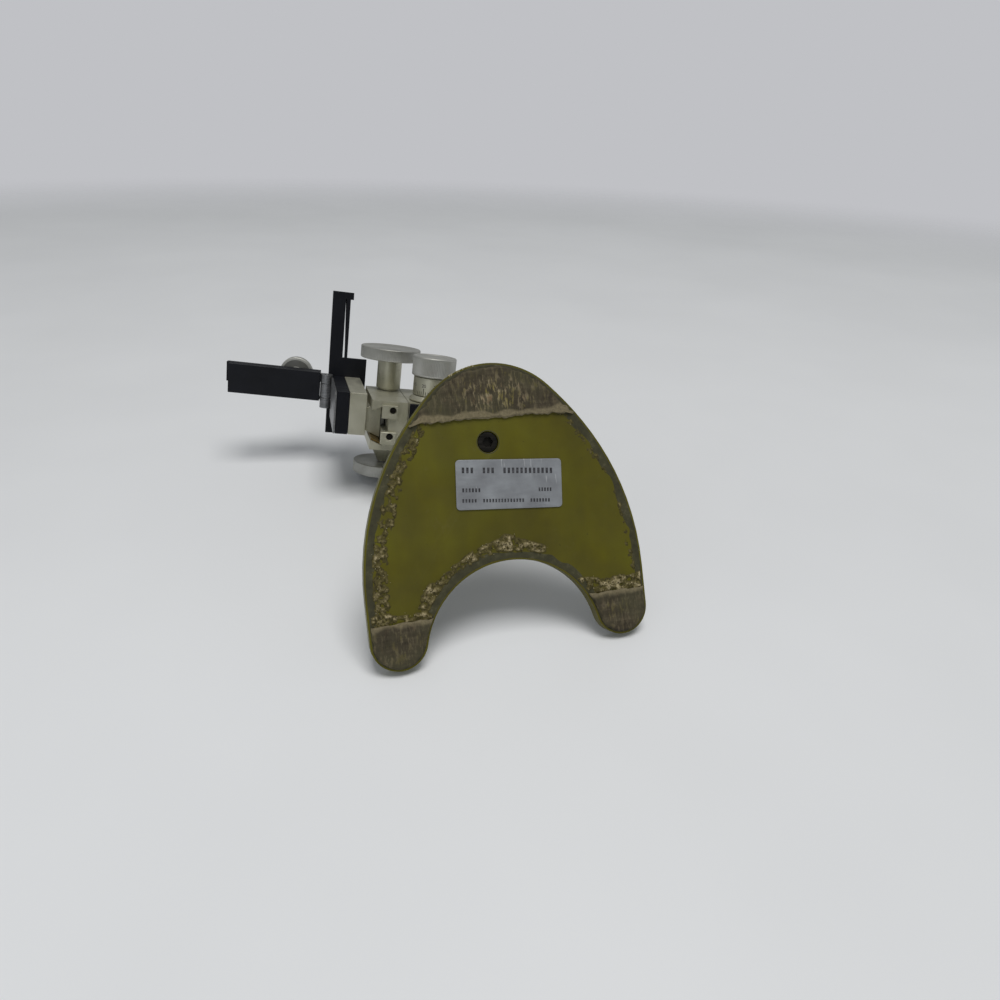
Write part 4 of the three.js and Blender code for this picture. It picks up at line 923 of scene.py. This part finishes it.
def make_clamp_knobs():
    """The bar's clamp knob and the tilt clamp's knob: knurled rims on plain hubs, and on the bar's clamp knob a
    sunk inner face in a darker copy of the knob metal, which is painted shade.
    """
    node = "bar_clamp_knob"
    w = np.array(JOINTS["bar_clamp_turn"]["axis"])
    v = HEAD[SHAFTS]
    origin = np.array(JOINTS["bar_clamp_turn"]["pos_m"]) * METRE
    along = (node_points(node) - origin) @ w
    low, high = along.min(), along.max()
    r, step = radius_of(node, ACROSS), 2.2
    profile = [[0, low, 0], [4.2, low, 0], [4.2, low + step - 0.1, 0], [r - 0.5, low + step, 0],
               [r, low + step + 0.5, 0], [r, low + step + 0.7, 1],
               [r, high - 0.7, 1], [r, high - 0.5, 0], [r - 0.5, high, 0], [r - 2.0, high, 0],
               [r - 2.3, high - 0.3, 0], [0, high - 0.3, 0]]
    turned(node + "_knurled", COLUMN, None, rounded(profile, 0.16, 2), KNOB_METAL, BODY_OF[node], (node,),
           SLOT_OF[node], teeth=64, depth=0.22, basis=(np.cross(v, w), v, w), origin=origin)
    # The sunk inner face below gets a darker copy of the knob metal: painted shade, for the shade that the knob's
    # rim casts into it.
    face = low + step - 0.25
    inset = [[0, face], [r - 1.6, face], [r - 1.4, face + 0.5], [0, face + 0.5]]
    turned(node + "_shaded_inner_face", COLUMN, None, rounded(inset, 0.1, 2), SHADED_KNOB_FACE, BODY_OF[node], (),
           SLOT_OF[node], basis=(np.cross(v, w), v, w), origin=origin)
    node = "tilt_clamp_knob"
    _, low, high = about_middle(node, ACROSS)
    r, step = radius_of(node, ACROSS), 4.0
    profile = [[0, low + 0.6, 0], [r - 3.2, low + 0.6, 0], [r - 2.6, low, 0], [r - 1, low, 0],
               [r, low + 1, 0], [r, low + 1.2, 1], [r, high - step - 1.2, 1], [r, high - step - 1, 0],
               [r - 1, high - step, 0], [5.5, high - step, 0], [5.5, high, 0], [0, high, 0]]
    turned_node(node, ACROSS, rounded(profile, 0.18, 2), KNOB_METAL, "_knurled", teeth=56, depth=0.34)


def make_solid_pieces():
    """Every other CAD solid, with softened edges and its own finish."""
    finishes = {
        "satin_metal": SATIN, "grey_steel": GREY_STEEL, "black_anodise": BLACK, "dark_steel": DARK_STEEL,
        "brass": BRASS, "olive_paint": ENAMEL, "pad": PAD, "label_foil": FOIL,
    }
    fine = {
        "pinion": 0.05, "rack": 0.06, "fixed_leaf": 0.12, "bar_leaf": 0.12, "gib_strip": 0.12,
        "swivel_washer": 0.12, "coarse_body": 0.2, "slide_block": 0.22, "base_plate": 0.45, "column": 0.4,
        "tilt_arm": 0.35,
    }
    # The thin black cover on the fine body's front is finished in this loop too. It is a dark sheet put over the
    # opening to stand for the shade inside it, so its black there is painted shade.
    for node in sorted(NODES):
        if not NODES[node].hide_render:
            width = fine.get(node, 0.12 if "screw" in node else 0.3)
            softened(node, width, finishes[SLOT_OF[node]], BODY_OF[node])


# ---- table, light and camera ----
CAMERA_PLACE = np.array([85.6, -36.3, -299.7])
CAMERA_AHEAD = Vector((-0.2708, -0.0261, 0.9623))
CAMERA_UP = Vector((-0.1100, 0.9939, -0.0040))
CAMERA_LENS, CAMERA_SENSOR = 27.04, 36.0
TABLE_REACH, TABLE_FADES_FROM, TABLE_SIDES = 1900, 1100, 96
TABLE_DARK, TABLE_LIGHT = (226, 228, 230), (231, 233, 235)
WORLD_TONE, WORLD_STRENGTH = (222, 225, 228), 0.35
BACKDROP_TONE = (192, 193, 197)


def resting_plane():
    """The plane the stand lies on, as its upward direction and a point in it. Starting from a rough
    upward direction, the lowest points of the two feet and the lower coarse knob give a plane, and its
    normal gives the next direction, until they agree."""
    foot = BASE_POINTS[BASE_POINTS[:, 1] < FOOT_PAD_EDGE]
    supports = [foot[foot[:, 0] > 0], foot[foot[:, 0] < 0], node_points("lower_coarse_knob")]
    up = np.array([0.02, 0.88, -0.48])
    for _ in range(12):
        lowest = np.array([points[(points @ up).argmin()] for points in supports])
        normal = np.cross(lowest[1] - lowest[0], lowest[2] - lowest[0])
        normal /= np.linalg.norm(normal)
        up = normal if normal @ up > 0 else -normal
    return up, lowest.mean(0)


def make_table(up, point):
    """The pale table: rings round a middle, with a fade that rises from 0 to 1 towards the edge."""
    side = np.cross(up, [1.0, 0, 0])
    side /= np.linalg.norm(side)
    other = np.cross(side, up)
    radii = np.linspace(20, TABLE_REACH, 60)
    angle = np.arange(TABLE_SIDES) * 2 * math.pi / TABLE_SIDES
    ring = np.cos(angle)[:, None] * side + np.sin(angle)[:, None] * other
    centre = point - up * 0.15
    points = (centre + radii[:, None, None] * ring[None]).reshape(-1, 3)
    points = np.vstack([points, centre])
    faces = [tuple(face) for face in grid_faces(len(radii), TABLE_SIDES)]
    faces += [tuple(face) for face in fan(len(points) - 1, np.arange(TABLE_SIDES), True)]
    mesh = bpy.data.meshes.new("table")
    mesh.from_pydata(points / METRE, [], faces)
    if mesh.polygons[0].normal.dot(Vector(up)) < 0:
        mesh.flip_normals()
    fade = np.append(np.repeat(smooth((radii - TABLE_FADES_FROM) / 700), TABLE_SIDES), 0)
    mesh.attributes.new("fade", "FLOAT", "POINT").data.foreach_set("value", fade.astype(np.float32))
    make = Finish("table_top", roughness=0.6)
    make.colour(make.steps(make.noise(5, 3), [(0.3, tone(*TABLE_DARK)), (0.7, tone(*TABLE_LIGHT))]))
    clear = make.tree.nodes.new("ShaderNodeBsdfTransparent")
    choose = make.tree.nodes.new("ShaderNodeMixShader")
    behind = make.tree.nodes.new("ShaderNodeNewGeometry").outputs["Backfacing"]
    make.link(make.math("MAXIMUM", make.mark("fade"), behind), choose.inputs["Fac"])
    make.link(make.shader.outputs["BSDF"], choose.inputs[1])
    make.link(clear.outputs["BSDF"], choose.inputs[2])
    make.link(choose.outputs["Shader"], make.tree.nodes["Material Output"].inputs["Surface"])
    mesh.materials.append(make.material)
    table = bpy.data.objects.new("table", mesh)
    bpy.context.scene.collection.objects.link(table)


def add_light(name, place, aim, size, power, colour):
    """A square soft light at a place, turned towards its aim."""
    lamp = bpy.data.lights.new(name, "AREA")
    lamp.shape = "SQUARE"
    lamp.size = size / METRE
    lamp.energy = power
    lamp.color = colour
    light = bpy.data.objects.new(name, lamp)
    light.location = Vector(place) / METRE
    light.rotation_mode = "QUATERNION"
    light.rotation_quaternion = Vector(np.subtract(aim, place)).to_track_quat("-Z", "Y")
    bpy.context.scene.collection.objects.link(light)


def light_and_look(up, point):
    """Soft overhead light a little towards the camera, a pale surround, and the camera."""
    towards = CAMERA_PLACE - point
    towards -= (towards @ up) * up
    towards /= np.linalg.norm(towards)
    beside = np.cross(up, towards)
    above = point + up * 2550 + towards * 480 + beside * 250
    add_light("overhead", above, point, 1300, 41.0, (1.0, 0.985, 0.965))
    add_light("fill", point + up * 260 + towards * 520 - beside * 260, point, 420, 0.3, (0.93, 0.96, 1.0))
    world = bpy.data.worlds.new("pale_room")
    world.use_nodes = True
    background = world.node_tree.nodes["Background"]
    background.inputs["Color"].default_value = tone(*WORLD_TONE)
    background.inputs["Strength"].default_value = WORLD_STRENGTH
    tree = world.node_tree
    backdrop = tree.nodes.new("ShaderNodeBackground")
    backdrop.inputs["Color"].default_value = tone(*BACKDROP_TONE)
    seen = tree.nodes.new("ShaderNodeLightPath").outputs["Is Camera Ray"]
    choose = tree.nodes.new("ShaderNodeMixShader")
    tree.links.new(seen, choose.inputs["Fac"])
    tree.links.new(background.outputs["Background"], choose.inputs[1])
    tree.links.new(backdrop.outputs["Background"], choose.inputs[2])
    tree.links.new(choose.outputs["Shader"], tree.nodes["World Output"].inputs["Surface"])
    bpy.context.scene.world = world

    camera = bpy.data.objects.new("camera", bpy.data.cameras.new("camera"))
    camera.data.lens = CAMERA_LENS
    camera.data.sensor_width = CAMERA_SENSOR
    camera.data.clip_start = 0.01
    side = CAMERA_AHEAD.cross(CAMERA_UP).normalized()
    above = side.cross(CAMERA_AHEAD).normalized()
    turn = Matrix((side, above, -CAMERA_AHEAD.normalized())).transposed()
    camera.rotation_mode = "QUATERNION"
    camera.rotation_quaternion = turn.to_quaternion()
    camera.location = Vector(CAMERA_PLACE) / METRE
    bpy.context.scene.collection.objects.link(camera)
    bpy.context.scene.camera = camera
    bpy.context.scene.view_settings.view_transform = "Standard"


for node, solid in NODES.items():
    solid.data.materials.clear()
    solid.data.materials.append(SATIN)
make_pads()
scatter_crumbs(*make_glue())
make_rim()
make_label()
make_counterbore_ring()
for knob in ("upper_coarse_knob", "lower_coarse_knob"):
    make_coarse_knob(knob)
make_fine_knob()
make_thimble()
make_plain_turned()
make_clamp_knobs()
make_solid_pieces()
UP, RESTING = resting_plane()
make_table(UP, RESTING)
light_and_look(UP, RESTING)
